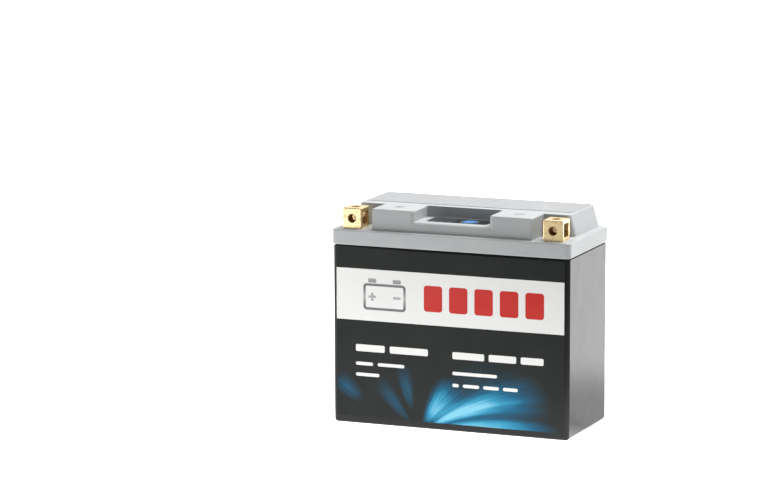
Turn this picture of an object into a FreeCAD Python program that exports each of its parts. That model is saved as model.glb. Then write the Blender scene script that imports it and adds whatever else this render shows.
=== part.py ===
import FreeCAD, Part
import math
import os

# Lithium motorcycle starter battery, in millimetres.
# Origin: centre of the underside. +X runs along the length towards the negative terminal,
# -Y is the labelled front, +Z is up.

# ---------------------------------------------------------------- driving dimensions
LENGTH = 150.0
WIDTH = 69.0
HEIGHT = 130.0

# Case: a box that narrows slightly towards its base, with a tongue round its open top.
CASE_INSET = 0.6
CASE_DRAFT = 0.2
CASE_WALL = 2.4
CASE_FLOOR = 2.4
CASE_CORNER_RADIUS = 2.6
CASE_BASE_RADIUS = 2.0
CASE_SHOULDER_Z = 107.0
TONGUE_STEP = 1.25
TONGUE_TOP_Z = 111.8
BEAD_RECESS = 0.9

# Lid: a skirt that overlaps the tongue, a ledge, and the raised parts on it.
RIM_BOTTOM_Z = 107.9
LEDGE_Z = 117.0
LID_WALL = 2.2
RIM_CORNER_RADIUS = 3.0
RIM_TOP_RADIUS = 1.0
RIM_BOTTOM_RADIUS = 0.4
TONGUE_CLEARANCE = 0.1
TONGUE_HEADROOM = 0.4
LID_INNER_CORNER_RADIUS = 1.8
CROWN_BASE_HALF_LENGTH = 70.0
CROWN_TOP_HALF_LENGTH = 66.5
CROWN_FRONT_Y = -10.5
CROWN_REAR_Y = 33.6
CROWN_CORNER_RADIUS = 2.5
CROWN_REAR_DRAFT = 0.4
BLOCK_INNER_X = 23.7
BLOCK_OUTER_X = 50.25
BLOCK_FRONT_BASE_Y = -31.6
BLOCK_FRONT_TOP_Y = -30.6
BLOCK_CORNER_RADIUS = 0.8
TROUGH_CORNER_RADIUS = 2.5
TROUGH_REAR_Y = -8.2
TROUGH_REAR_RADIUS = 1.5
SILL_Z = 123.4
SILL_LIP_RADIUS = 2.5
RAISED_EDGE_RADIUS = 0.7

# Moulded polarity marks on the two front blocks.
MARK_X = 38.0
MARK_Y = -18.5
MARK_RING_RADIUS = 3.4
MARK_LINE = 0.5
MARK_DEPTH = 0.35
MARK_BAR_LENGTH = 3.6
MARK_BAR_WIDTH = 0.8

# Labels and indicator film.
LABEL_THICKNESS = 0.2
FRONT_LABEL_HALF_LENGTH = 71.8
FRONT_LABEL_BOTTOM_Z = 4.5
FRONT_LABEL_TOP_Z = 106.2
LABEL_CORNER_RADIUS = 1.5
TOP_LABEL_FRONT_Y = -2.5
TOP_LABEL_MARGIN = 1.2
FILM_THICKNESS = 0.3
FILM_RECESS = 0.4
FILM_LEFT_X = -18.5
FILM_RIGHT_X = 20.0
FILM_FRONT_Y = -25.4
FILM_REAR_Y = -10.0
FILM_CORNER_RADIUS = 2.5
FILM_CLEARANCE = 0.15

# Test button and the switch under it.
BUTTON_X = 7.0
BUTTON_Y = -18.6
BUTTON_RADIUS = 4.5
BUTTON_TRAVEL = 0.5
BUTTON_CAP_THICKNESS = 0.9
BUTTON_DOME = 0.5
BUTTON_CLEARANCE = 0.1
BUTTON_WELL_FLOOR_Z = 122.0
BUTTON_STEM_RADIUS = 1.6
BUTTON_GUIDE_RADIUS = 6.0
BUTTON_GUIDE_DEPTH = 1.4
SWITCH_SIZE = 6.2
SWITCH_HEIGHT = 2.8
SWITCH_CORNER_RADIUS = 0.6
PLUNGER_RADIUS = 1.7
PLUNGER_LENGTH = 2.3
PLUNGER_TOP_Z = 118.9
SWITCH_CAVITY_Z = 115.7
DOME_THICKNESS = 0.12
DOME_RISE = 0.8
DOME_RADIUS = 1.65

# Indicator board, lamps and light guides.
BOARD_THICKNESS = 1.6
INDICATOR_BOARD_TOP_Z = 115.2
INDICATOR_BOARD_HALF_LENGTH = 21.5
INDICATOR_BOARD_FRONT_Y = -27.8
INDICATOR_BOARD_REAR_Y = -9.4
INDICATOR_BOARD_CORNER_RADIUS = 1.0
INDICATOR_POST_X = 18.6
INDICATOR_POST_FRONT_Y = -25.4
INDICATOR_POST_REAR_Y = -11.8
INDICATOR_POST_RADIUS = 2.2
INDICATOR_SCREW_RADIUS = 0.95
INDICATOR_SCREW_HEAD_RADIUS = 1.9
INDICATOR_SCREW_HEAD_HEIGHT = 1.2
INDICATOR_SCREW_GRIP = 4.0
INDICATOR_HOLE_CLEARANCE = 0.2
INDICATOR_SLOT = (2.6, 0.6)
INDICATOR_SLOT_DEPTH = 0.5
LAMP_COUNT = 3
LAMP_FIRST_X = -14.4
LAMP_PITCH = 5.0
LAMP_Y = BUTTON_Y
LAMP_LENGTH = 2.8
LAMP_WIDTH = 1.8
LAMP_HEIGHT = 1.0
LAMP_CORNER_RADIUS = 0.2
GUIDE_RADIUS = 1.2
GUIDE_FLANGE_RADIUS = 1.9
GUIDE_FLANGE_THICKNESS = 0.8
GUIDE_LAMP_GAP = 0.2
GUIDE_FILM_GAP = 0.05

# Terminals: hollow brass blocks on a round neck.
TERMINAL_X = 63.1
TERMINAL_Y = -24.5
TERMINAL_SIZE = 12.2
TERMINAL_HEIGHT = 12.5
TERMINAL_EDGE_RADIUS = 0.6
TERMINAL_HOLE_RADIUS = 2.7
NECK_RADIUS = 4.0
NECK_HOLE_CLEARANCE = 0.2
NECK_BOTTOM_Z = 112.5
NECK_BOSS_RADIUS = 7.5
NECK_BOSS_BOTTOM_Z = 112.9
SEAL_OUTER_RADIUS = 5.6
SEAL_BOTTOM_Z = 115.5
SEAL_CLEARANCE = 0.05

# Square M5 nuts, loose in the hollow terminals.
NUT_SIZE = 8.0
NUT_THICKNESS = 4.0
NUT_CLEARANCE = 0.1
NUT_THREAD_RADIUS = 2.2
NUT_EDGE_CHAMFER = 0.4

# Straps and their M5 screws.
STRAP_THICKNESS = 1.0
STRAP_WIDTH = 10.0
STRAP_RISER_X = 57.0
STRAP_TAB_OUTER_X = 68.5
STRAP_FOOT_INNER_X = 51.0
SCREW_RADIUS = 2.4
SCREW_END_GAP = 0.2
SCREW_THREAD_CLEARANCE = 0.1
STRAP_HOLE_CLEARANCE = 0.2
SCREW_THREAD_TOP_Z = 117.4
SCREW_HEAD_RADIUS = 4.4
SCREW_HEAD_HEIGHT = 2.8
SCREW_SOCKET_FLAT_RADIUS = 2.0
SCREW_SOCKET_DEPTH = 1.6

# Cell pack: eight cylindrical cells in two holders.
CELL_RADIUS = 13.1
CELL_LENGTH = 65.0
CELL_BUTTON_RADIUS = 4.5
CELL_BUTTON_HEIGHT = 1.0
CELL_CRIMP_DEPTH = 0.5
CELL_CRIMP_FROM_TOP = 4.5
CELL_CRIMP_WIDTH = 1.4
CELL_EDGE_RADIUS = 0.6
CELL_PITCH = 27.4
CELL_COLUMNS = 4
CELL_ROWS = 2
CELL_BOTTOM_Z = 21.7
CELL_CLEARANCE = 0.1
RING_RADIUS = 10.5
RING_THICKNESS = 0.25
RING_CLEARANCE = 0.1
HOLDER_HALF_LENGTH = 58.0
HOLDER_HALF_WIDTH = 29.0
HOLDER_DEPTH = 10.0
HOLDER_END_WALL = 1.0
HOLDER_WINDOW_RADIUS = 8.5
HOLDER_CORNER_RADIUS = 5.0
TIE_ROD_RADIUS = 1.75
TIE_ROD_CLEARANCE = 0.1
TIE_ROD_RECESS_RADIUS = 3.1
TIE_ROD_RECESS_DEPTH = 2.0
TIE_ROD_HEAD_FLAT_RADIUS = 2.55
TIE_ROD_HEAD_HEIGHT = 1.95
TIE_ROD_RECESS = 0.4
STANDOFF_X = CELL_PITCH
STANDOFF_Y = 25.8
STANDOFF_RADIUS = 2.5

# Plates welded across the cell ends.
PLATE_THICKNESS = 0.5
PLATE_GAP = 0.1
PLATE_HALF_WIDTH = 22.0
PLATE_EDGE_GAP = 1.0
PLATE_CORNER_RADIUS = 2.0
PLATE_DIMPLE_RADIUS = 3.0
PLATE_TAB_OUTER_X = 57.6
PLATE_TAB_OVERLAP = 4.0
PLATE_OUTER_X = 54.0

# Protection board and the parts on it.
PROTECTION_BOARD_BOTTOM_Z = 94.0
PROTECTION_BOARD_HALF_LENGTH = 50.0
PROTECTION_BOARD_HALF_WIDTH = 28.2
PROTECTION_BOARD_CORNER_RADIUS = 2.0
BOARD_SCREW_RADIUS = 1.45
BOARD_SCREW_HEAD_RADIUS = 2.7
BOARD_SCREW_HEAD_HEIGHT = 1.6
BOARD_SCREW_LENGTH = 6.0
BOARD_SCREW_CLEARANCE = 0.05
BOARD_HOLE_CLEARANCE = 0.15
BOARD_SLOT = (3.0, 0.7)
TRANSISTOR_COUNT = 8
TRANSISTOR_PITCH = 8.6
TRANSISTOR_LENGTH = 5.2
TRANSISTOR_WIDTH = 6.2
TRANSISTOR_HEIGHT = 1.1
TRANSISTOR_Y = -15.0
CHIP_SIZE = 7.0
CHIP_HEIGHT = 1.2
CHIP_CORNER_RADIUS = 0.3
CHIP_PLACES = [(-24.0, 8.0), (-10.0, 8.0), (24.0, 8.0)]

# Sense strips from the plates to the board.
SENSE_THICKNESS = 0.3
SENSE_WIDTH = 4.0
SENSE_SHORT_Y = 28.5
SENSE_LONG_Y = 29.2
SENSE_FOOT_Y = 20.0
SENSE_TAB_Y = 26.6

# Flat ribbon between the boards.
RIBBON_THICKNESS = 0.3
RIBBON_LEFT_X = 2.0
RIBBON_WIDTH = 12.0
RIBBON_DROP_Y = -5.0
RIBBON_BEND_RADIUS = 2.0
SOCKET_DEPTH = 4.0
SOCKET_HEIGHT = 2.6
SOCKET_MARGIN = 1.5

# Foam packing.
FOAM_GAP = 0.4
LOWER_FOAM_HALF_LENGTH = 70.0
LOWER_FOAM_HALF_WIDTH = 29.6
FOAM_CORNER_RADIUS = 3.0
UPPER_FOAM_HALF_LENGTH = 50.0
UPPER_FOAM_HALF_WIDTH = 26.0
UPPER_FOAM_BOTTOM_Z = 99.0
UPPER_FOAM_TOP_Z = 109.0
RIBBON_SLOT_MARGIN = 3.0
END_FOAM_OUTER_X = 70.2
END_FOAM_HALF_WIDTH = 27.0
END_FOAM_TOP_Z = 84.0

# How far a cutting shape runs past what it cuts, and a fused one into what it joins.
CUT_MARGIN = 1.0
JOIN_OVERLAP = 0.5

# Edges are told apart to this distance, and count as upright from this share of their direction.
TOLERANCE = 1e-3
UPRIGHT_SHARE = 0.98

# ---------------------------------------------------------------- derived dimensions
CROWN_Z = HEIGHT - LABEL_THICKNESS
CASE_HALF_LENGTH = LENGTH / 2 - CASE_INSET
CASE_HALF_WIDTH = WIDTH / 2 - CASE_INSET
TONGUE_HALF_LENGTH = CASE_HALF_LENGTH - TONGUE_STEP
TONGUE_HALF_WIDTH = CASE_HALF_WIDTH - TONGUE_STEP
CASE_INNER_RADIUS = CASE_CORNER_RADIUS - CASE_WALL / 2
FILM_FLOOR_Z = SILL_Z - FILM_RECESS
SILL_UNDERSIDE_Z = SILL_Z - LID_WALL
LEDGE_UNDERSIDE_Z = LEDGE_Z - LID_WALL
CHANNEL_SIZE = NUT_SIZE + 2 * NUT_CLEARANCE
CHANNEL_Z = LEDGE_Z + TERMINAL_HEIGHT / 2
CELL_TOP_Z = CELL_BOTTOM_Z + CELL_LENGTH
LOWER_HOLDER_BOTTOM_Z = CELL_BOTTOM_Z - CELL_CLEARANCE - HOLDER_END_WALL
UPPER_HOLDER_TOP_Z = CELL_TOP_Z + CELL_CLEARANCE + HOLDER_END_WALL
LOWER_PLATE_TOP_Z = LOWER_HOLDER_BOTTOM_Z - PLATE_GAP
UPPER_PLATE_BOTTOM_Z = UPPER_HOLDER_TOP_Z + PLATE_GAP
UPPER_PLATE_TOP_Z = UPPER_PLATE_BOTTOM_Z + PLATE_THICKNESS
PROTECTION_BOARD_TOP_Z = PROTECTION_BOARD_BOTTOM_Z + BOARD_THICKNESS
INDICATOR_BOARD_BOTTOM_Z = INDICATOR_BOARD_TOP_Z - BOARD_THICKNESS
COLUMN_XS = [(column - (CELL_COLUMNS - 1) / 2) * CELL_PITCH for column in range(CELL_COLUMNS)]
ROW_YS = [(row - (CELL_ROWS - 1) / 2) * CELL_PITCH for row in range(CELL_ROWS)]
TIE_ROD_XS = [(COLUMN_XS[i] + COLUMN_XS[i + 1]) / 2 for i in range(CELL_COLUMNS - 1)]
LAMP_XS = [LAMP_FIRST_X + LAMP_PITCH * lamp for lamp in range(LAMP_COUNT)]
SIDES = {"positive": -1, "negative": 1}

UP = FreeCAD.Vector(0, 0, 1)
BACK = FreeCAD.Vector(0, 1, 0)


# ---------------------------------------------------------------- building blocks
def box(x0, x1, y0, y1, z0, z1):
    """A box between two corners, given in any order along X."""
    corner = FreeCAD.Vector(min(x0, x1), y0, z0)
    return Part.makeBox(abs(x1 - x0), y1 - y0, z1 - z0, corner)


def cylinder(x, y, z0, z1, radius):
    """An upright cylinder."""
    return Part.makeCylinder(radius, z1 - z0, FreeCAD.Vector(x, y, z0), UP)


def rounded_outline(x0, x1, y0, y1, z, radius):
    """A closed rectangle with round corners, flat at height z."""
    arcs = []
    corners = [(x1 - radius, y1 - radius, 0), (x0 + radius, y1 - radius, 90),
               (x0 + radius, y0 + radius, 180), (x1 - radius, y0 + radius, 270)]
    for cx, cy, start in corners:
        circle = Part.Circle(FreeCAD.Vector(cx, cy, z), UP, radius)
        arcs.append(Part.Arc(circle, math.radians(start), math.radians(start + 90)).toShape())
    edges = []
    for index, arc in enumerate(arcs):
        following = arcs[(index + 1) % len(arcs)]
        edges.append(arc)
        edges.append(Part.makeLine(arc.valueAt(arc.LastParameter),
                                   following.valueAt(following.FirstParameter)))
    return Part.Wire(edges)


def rounded_block(x0, x1, y0, y1, z0, z1, radius):
    """An upright block with round vertical corners."""
    face = Part.Face(rounded_outline(x0, x1, y0, y1, z0, radius))
    return face.extrude(FreeCAD.Vector(0, 0, z1 - z0))


def centred_block(half_length, half_width, z0, z1, radius):
    """A rounded block centred on the origin's vertical axis."""
    return rounded_block(-half_length, half_length, -half_width, half_width, z0, z1, radius)


def drafted_block(lower, upper, z0, z1, radius):
    """A block whose outline changes from lower to upper, each (x0, x1, y0, y1)."""
    outlines = [rounded_outline(*lower, z0, radius), rounded_outline(*upper, z1, radius)]
    return Part.makeLoft(outlines, True, True)


def side_profile(points, x0, x1):
    """A closed outline of (y, z) points, extruded along X."""
    vectors = [FreeCAD.Vector(x0, y, z) for y, z in points]
    face = Part.Face(Part.makePolygon(vectors + vectors[:1]))
    return face.extrude(FreeCAD.Vector(x1 - x0, 0, 0))


def fuse(shapes):
    """One solid from several overlapping ones."""
    first, *others = shapes
    return first.multiFuse(others).removeSplitter()


def turned(points, x, y):
    """A solid turned about the vertical line through (x, y), from (radius, z) points."""
    vectors = [FreeCAD.Vector(x + radius, y, z) for radius, z in points]
    face = Part.Face(Part.makePolygon(vectors + vectors[:1]))
    return face.revolve(FreeCAD.Vector(x, y, 0), UP, 360)


def hexagon_block(x, y, z0, z1, flat_radius):
    """An upright six-sided prism."""
    corner_radius = flat_radius / math.cos(math.radians(30))
    corners = [FreeCAD.Vector(x + corner_radius * math.cos(math.radians(60 * i)),
                              y + corner_radius * math.sin(math.radians(60 * i)), z0) for i in range(6)]
    face = Part.Face(Part.makePolygon(corners + corners[:1]))
    return face.extrude(FreeCAD.Vector(0, 0, z1 - z0))


def is_vertical(edge):
    """True for a straight edge that runs along Z, or nearly."""
    if not isinstance(edge.Curve, Part.Line):
        return False
    along = edge.tangentAt(edge.FirstParameter)
    return abs(along.z) > UPRIGHT_SHARE


def at_height(edge, z):
    """True for an edge that lies level at height z."""
    bounds = edge.BoundBox
    return abs(bounds.ZMin - z) < TOLERANCE and abs(bounds.ZMax - z) < TOLERANCE


def round_edges(shape, radius, wanted):
    """Rounds the edges that wanted picks."""
    return shape.makeFillet(radius, [edge for edge in shape.Edges if wanted(edge)])


# ---------------------------------------------------------------- case and seam
def case_outline(z, inset, radius):
    """The case's outline at height z, moved in by inset."""
    draft = CASE_DRAFT * (1 - z / CASE_SHOULDER_Z)
    half_length = CASE_HALF_LENGTH - draft - inset
    half_width = CASE_HALF_WIDTH - draft - inset
    return rounded_outline(-half_length, half_length, -half_width, half_width, z, radius)


def make_case():
    """Open box with a tongue round its top."""
    outer = Part.makeLoft(
        [case_outline(0, 0, CASE_CORNER_RADIUS), case_outline(CASE_SHOULDER_Z, 0, CASE_CORNER_RADIUS)],
        True, True)
    outer = round_edges(outer, CASE_BASE_RADIUS, lambda edge: at_height(edge, 0))
    tongue = centred_block(TONGUE_HALF_LENGTH, TONGUE_HALF_WIDTH, CASE_SHOULDER_Z - CASE_WALL,
                           TONGUE_TOP_Z, CASE_INNER_RADIUS)
    hollow = Part.makeLoft(
        [case_outline(CASE_FLOOR, CASE_WALL, CASE_INNER_RADIUS),
         case_outline(TONGUE_TOP_Z, CASE_WALL, CASE_INNER_RADIUS)],
        True, True)
    return fuse([outer, tongue]).cut(hollow)


def make_lid_seal():
    """Bead that fills the seam between case shoulder and lid skirt, set back from the outside."""
    outer = centred_block(CASE_HALF_LENGTH - BEAD_RECESS, CASE_HALF_WIDTH - BEAD_RECESS, CASE_SHOULDER_Z,
                          RIM_BOTTOM_Z, CASE_CORNER_RADIUS - BEAD_RECESS)
    inner = centred_block(TONGUE_HALF_LENGTH, TONGUE_HALF_WIDTH, CASE_SHOULDER_Z, RIM_BOTTOM_Z,
                          CASE_INNER_RADIUS)
    return outer.cut(inner)


def case_front_y(z):
    """Where the case's drafted front face is at height z."""
    return -(CASE_HALF_WIDTH - CASE_DRAFT * (1 - z / CASE_SHOULDER_Z))


def make_front_label():
    """Thin sheet that lies on the drafted front face."""
    low_y = case_front_y(FRONT_LABEL_BOTTOM_Z)
    high_y = case_front_y(FRONT_LABEL_TOP_Z)
    points = [(low_y, FRONT_LABEL_BOTTOM_Z), (high_y, FRONT_LABEL_TOP_Z),
              (high_y - LABEL_THICKNESS, FRONT_LABEL_TOP_Z),
              (low_y - LABEL_THICKNESS, FRONT_LABEL_BOTTOM_Z)]
    sheet = side_profile(points, -FRONT_LABEL_HALF_LENGTH, FRONT_LABEL_HALF_LENGTH)
    return round_edges(sheet, LABEL_CORNER_RADIUS, lambda edge: edge.Length < 2 * LABEL_THICKNESS)


# ---------------------------------------------------------------- lid
def make_rim():
    """Skirt and ledge, as a solid block."""
    rim = centred_block(LENGTH / 2, WIDTH / 2, RIM_BOTTOM_Z, LEDGE_Z, RIM_CORNER_RADIUS)
    rim = round_edges(rim, RIM_TOP_RADIUS, lambda edge: at_height(edge, LEDGE_Z))
    return round_edges(rim, RIM_BOTTOM_RADIUS, lambda edge: at_height(edge, RIM_BOTTOM_Z))


def make_crown():
    """Raised rear part, with sloping ends."""
    lower = (-CROWN_BASE_HALF_LENGTH, CROWN_BASE_HALF_LENGTH, CROWN_FRONT_Y, CROWN_REAR_Y)
    upper = (-CROWN_TOP_HALF_LENGTH, CROWN_TOP_HALF_LENGTH, CROWN_FRONT_Y,
             CROWN_REAR_Y - CROWN_REAR_DRAFT)
    crown = drafted_block(lower, upper, LEDGE_Z, CROWN_Z, CROWN_CORNER_RADIUS)
    return round_edges(crown, RAISED_EDGE_RADIUS, lambda edge: at_height(edge, CROWN_Z))


def make_front_block(side):
    """One raised block in front of the crown, with a soft corner towards the trough."""
    x0, x1 = sorted((side * BLOCK_INNER_X, side * BLOCK_OUTER_X))
    rear_y = CROWN_FRONT_Y + TROUGH_CORNER_RADIUS
    points = [(BLOCK_FRONT_BASE_Y, LEDGE_Z), (BLOCK_FRONT_TOP_Y, CROWN_Z),
              (rear_y, CROWN_Z), (rear_y, LEDGE_Z)]
    block = side_profile(points, x0, x1)
    for corner_x, radius in ((side * BLOCK_INNER_X, TROUGH_CORNER_RADIUS),
                             (side * BLOCK_OUTER_X, BLOCK_CORNER_RADIUS)):
        block = round_edges(block, radius, lambda edge: is_front_corner(edge, corner_x))
    return round_edges(block, RAISED_EDGE_RADIUS,
                       lambda edge: at_height(edge, CROWN_Z) and edge.BoundBox.YMax < rear_y - TOLERANCE)


def is_front_corner(edge, x):
    """True for an upright edge at the front of a block, at that x."""
    bounds = edge.BoundBox
    return is_vertical(edge) and bounds.YMax < CROWN_FRONT_Y and abs(bounds.XMax - x) < TOLERANCE


def make_sill():
    """Low front wall and floor of the trough, with a round lip."""
    slope = (BLOCK_FRONT_TOP_Y - BLOCK_FRONT_BASE_Y) / (CROWN_Z - LEDGE_Z)
    lip_y = BLOCK_FRONT_BASE_Y + slope * (SILL_Z - LEDGE_Z)
    rear_y = CROWN_FRONT_Y + TROUGH_CORNER_RADIUS
    half_length = BLOCK_INNER_X + TROUGH_CORNER_RADIUS + RAISED_EDGE_RADIUS
    points = [(BLOCK_FRONT_BASE_Y, LEDGE_Z), (lip_y, SILL_Z), (rear_y, SILL_Z), (rear_y, LEDGE_Z)]
    sill = side_profile(points, -half_length, half_length)
    return round_edges(sill, SILL_LIP_RADIUS,
                       lambda edge: at_height(edge, SILL_Z) and edge.BoundBox.YMax < lip_y + TOLERANCE)


def make_trough_cut():
    """The part of the trough that reaches back into the crown."""
    front_y = CROWN_FRONT_Y - TROUGH_CORNER_RADIUS
    cut = box(-BLOCK_INNER_X, BLOCK_INNER_X, front_y, TROUGH_REAR_Y, SILL_Z, CROWN_Z + CUT_MARGIN)
    return round_edges(cut, TROUGH_REAR_RADIUS,
                       lambda edge: is_vertical(edge) and edge.BoundBox.YMax > TROUGH_REAR_Y - TOLERANCE)


def make_lid_hollow():
    """Everything that is open inside the lid."""
    skirt_half_length = TONGUE_HALF_LENGTH + TONGUE_CLEARANCE
    skirt_half_width = TONGUE_HALF_WIDTH + TONGUE_CLEARANCE
    skirt = centred_block(skirt_half_length, skirt_half_width, RIM_BOTTOM_Z - CUT_MARGIN,
                          TONGUE_TOP_Z + TONGUE_HEADROOM, CASE_INNER_RADIUS)
    under_ledge = centred_block(skirt_half_length - TONGUE_STEP, skirt_half_width - TONGUE_STEP,
                                RIM_BOTTOM_Z, LEDGE_UNDERSIDE_Z, LID_INNER_CORNER_RADIUS)
    crown = box(-CROWN_TOP_HALF_LENGTH + LID_WALL, CROWN_TOP_HALF_LENGTH - LID_WALL,
                CROWN_FRONT_Y + LID_WALL, CROWN_REAR_Y - CROWN_REAR_DRAFT - LID_WALL,
                LEDGE_UNDERSIDE_Z - CUT_MARGIN, CROWN_Z - LID_WALL)
    block_front_y = BLOCK_FRONT_TOP_Y + LID_WALL
    block_rear_y = CROWN_FRONT_Y + 2 * LID_WALL
    blocks = [box(side * (BLOCK_INNER_X + LID_WALL), side * (BLOCK_OUTER_X - LID_WALL),
                  block_front_y, block_rear_y, LEDGE_UNDERSIDE_Z - CUT_MARGIN, CROWN_Z - LID_WALL)
              for side in SIDES.values()]
    trough = box(-BLOCK_OUTER_X + LID_WALL, BLOCK_OUTER_X - LID_WALL, block_front_y, block_rear_y,
                 LEDGE_UNDERSIDE_Z - CUT_MARGIN, SILL_UNDERSIDE_Z)
    trough_wall = box(-BLOCK_INNER_X - LID_WALL, BLOCK_INNER_X + LID_WALL, CROWN_FRONT_Y,
                      TROUGH_REAR_Y + LID_WALL, SILL_UNDERSIDE_Z, CROWN_Z)
    hollow = fuse([skirt, under_ledge, crown, trough] + blocks)
    return hollow.cut(trough_wall)


def indicator_post_places():
    """Centres of the four posts that carry the indicator board."""
    return [(x, y) for x in (-INDICATOR_POST_X, INDICATOR_POST_X)
            for y in (INDICATOR_POST_FRONT_Y, INDICATOR_POST_REAR_Y)]


def make_lid_inner_posts():
    """Board posts, button guide and terminal bosses under the lid's surface."""
    posts = [cylinder(x, y, INDICATOR_BOARD_TOP_Z, SILL_UNDERSIDE_Z + JOIN_OVERLAP,
                      INDICATOR_POST_RADIUS)
             for x, y in indicator_post_places()]
    guide = cylinder(BUTTON_X, BUTTON_Y, SILL_UNDERSIDE_Z - BUTTON_GUIDE_DEPTH,
                     SILL_UNDERSIDE_Z + JOIN_OVERLAP, BUTTON_GUIDE_RADIUS)
    bosses = [cylinder(side * TERMINAL_X, TERMINAL_Y, NECK_BOSS_BOTTOM_Z,
                       LEDGE_UNDERSIDE_Z + JOIN_OVERLAP, NECK_BOSS_RADIUS) for side in SIDES.values()]
    limit = centred_block(TONGUE_HALF_LENGTH - TONGUE_STEP, TONGUE_HALF_WIDTH - TONGUE_STEP,
                          NECK_BOSS_BOTTOM_Z, LEDGE_Z, LID_INNER_CORNER_RADIUS)
    return posts + [guide] + [boss.common(limit) for boss in bosses]


def make_lid_holes():
    """Screw holes, button well, light-guide holes and terminal necks' holes."""
    holes = [cylinder(x, y, INDICATOR_BOARD_TOP_Z - CUT_MARGIN, SILL_UNDERSIDE_Z,
                      INDICATOR_SCREW_RADIUS)
             for x, y in indicator_post_places()]
    holes.append(cylinder(BUTTON_X, BUTTON_Y, BUTTON_WELL_FLOOR_Z, SILL_Z + CUT_MARGIN,
                          BUTTON_RADIUS + BUTTON_CLEARANCE))
    holes.append(cylinder(BUTTON_X, BUTTON_Y, SILL_UNDERSIDE_Z - BUTTON_GUIDE_DEPTH - CUT_MARGIN,
                          BUTTON_WELL_FLOOR_Z + CUT_MARGIN, BUTTON_STEM_RADIUS + BUTTON_CLEARANCE))
    for x in LAMP_XS:
        holes.append(cylinder(x, LAMP_Y, SILL_UNDERSIDE_Z - CUT_MARGIN, SILL_Z,
                              GUIDE_RADIUS + BUTTON_CLEARANCE))
    for side in SIDES.values():
        holes.append(cylinder(side * TERMINAL_X, TERMINAL_Y, NECK_BOSS_BOTTOM_Z - CUT_MARGIN, LEDGE_Z,
                              NECK_RADIUS + NECK_HOLE_CLEARANCE))
        holes.append(cylinder(side * TERMINAL_X, TERMINAL_Y, SEAL_BOTTOM_Z, LEDGE_Z + CUT_MARGIN,
                              SEAL_OUTER_RADIUS + SEAL_CLEARANCE))
    film = rounded_block(FILM_LEFT_X - FILM_CLEARANCE, FILM_RIGHT_X + FILM_CLEARANCE,
                         FILM_FRONT_Y - FILM_CLEARANCE, FILM_REAR_Y + FILM_CLEARANCE,
                         FILM_FLOOR_Z, SILL_Z + CUT_MARGIN, FILM_CORNER_RADIUS)
    return holes + [film]


def make_polarity_marks():
    """Sunken ring with a plus or a minus in it, on the two front blocks."""
    marks = []
    low = CROWN_Z - MARK_DEPTH
    high = CROWN_Z + CUT_MARGIN
    for side in SIDES.values():
        x = side * MARK_X
        ring = cylinder(x, MARK_Y, low, high, MARK_RING_RADIUS)
        marks.append(ring.cut(cylinder(x, MARK_Y, low, high, MARK_RING_RADIUS - MARK_LINE)))
        half = MARK_BAR_LENGTH / 2
        thin = MARK_BAR_WIDTH / 2
        bar = box(x - half, x + half, MARK_Y - thin, MARK_Y + thin, low, high)
        if side == SIDES["positive"]:
            bar = fuse([bar, box(x - thin, x + thin, MARK_Y - half, MARK_Y + half, low, high)])
        marks.append(bar)
    return marks


def make_lid():
    """The whole lid, moulded in one piece."""
    blocks = [make_front_block(side) for side in SIDES.values()]
    outside = fuse([make_rim(), make_crown(), make_sill()] + blocks)
    outside = outside.cut(make_trough_cut())
    lid = outside.cut(make_lid_hollow())
    lid = fuse([lid] + make_lid_inner_posts())
    for hole in make_lid_holes() + make_polarity_marks():
        lid = lid.cut(hole)
    return lid


def make_top_label():
    """Printed sheet on the rear strip of the crown."""
    half_length = CROWN_TOP_HALF_LENGTH - TOP_LABEL_MARGIN
    rear_y = CROWN_REAR_Y - CROWN_REAR_DRAFT - TOP_LABEL_MARGIN
    return rounded_block(-half_length, half_length, TOP_LABEL_FRONT_Y, rear_y, CROWN_Z,
                         CROWN_Z + LABEL_THICKNESS, LABEL_CORNER_RADIUS)


# ---------------------------------------------------------------- indicator
def make_indicator_film():
    """Glossy film in the trough, with a hole for the button."""
    film = rounded_block(FILM_LEFT_X, FILM_RIGHT_X, FILM_FRONT_Y, FILM_REAR_Y, FILM_FLOOR_Z,
                         FILM_FLOOR_Z + FILM_THICKNESS, FILM_CORNER_RADIUS)
    hole = cylinder(BUTTON_X, BUTTON_Y, FILM_FLOOR_Z - CUT_MARGIN, SILL_Z + CUT_MARGIN,
                    BUTTON_RADIUS + 2 * BUTTON_CLEARANCE)
    return film.cut(hole)


def make_test_button():
    """Shallow domed cap on a stem."""
    cap_bottom = BUTTON_WELL_FLOOR_Z + BUTTON_TRAVEL + BUTTON_CLEARANCE
    cap_edge = cap_bottom + BUTTON_CAP_THICKNESS
    cap = cylinder(BUTTON_X, BUTTON_Y, cap_bottom, cap_edge + BUTTON_DOME, BUTTON_RADIUS)
    dome_radius = (BUTTON_RADIUS ** 2 + BUTTON_DOME ** 2) / (2 * BUTTON_DOME)
    dome_centre = FreeCAD.Vector(BUTTON_X, BUTTON_Y, cap_edge + BUTTON_DOME - dome_radius)
    cap = cap.common(Part.makeSphere(dome_radius, dome_centre))
    stem = cylinder(BUTTON_X, BUTTON_Y, PLUNGER_TOP_Z, cap_bottom + JOIN_OVERLAP, BUTTON_STEM_RADIUS)
    return fuse([cap, stem])


def make_switch_plunger():
    """Round plunger that the button's stem pushes."""
    return cylinder(BUTTON_X, BUTTON_Y, PLUNGER_TOP_Z - PLUNGER_LENGTH, PLUNGER_TOP_Z, PLUNGER_RADIUS)


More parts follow.
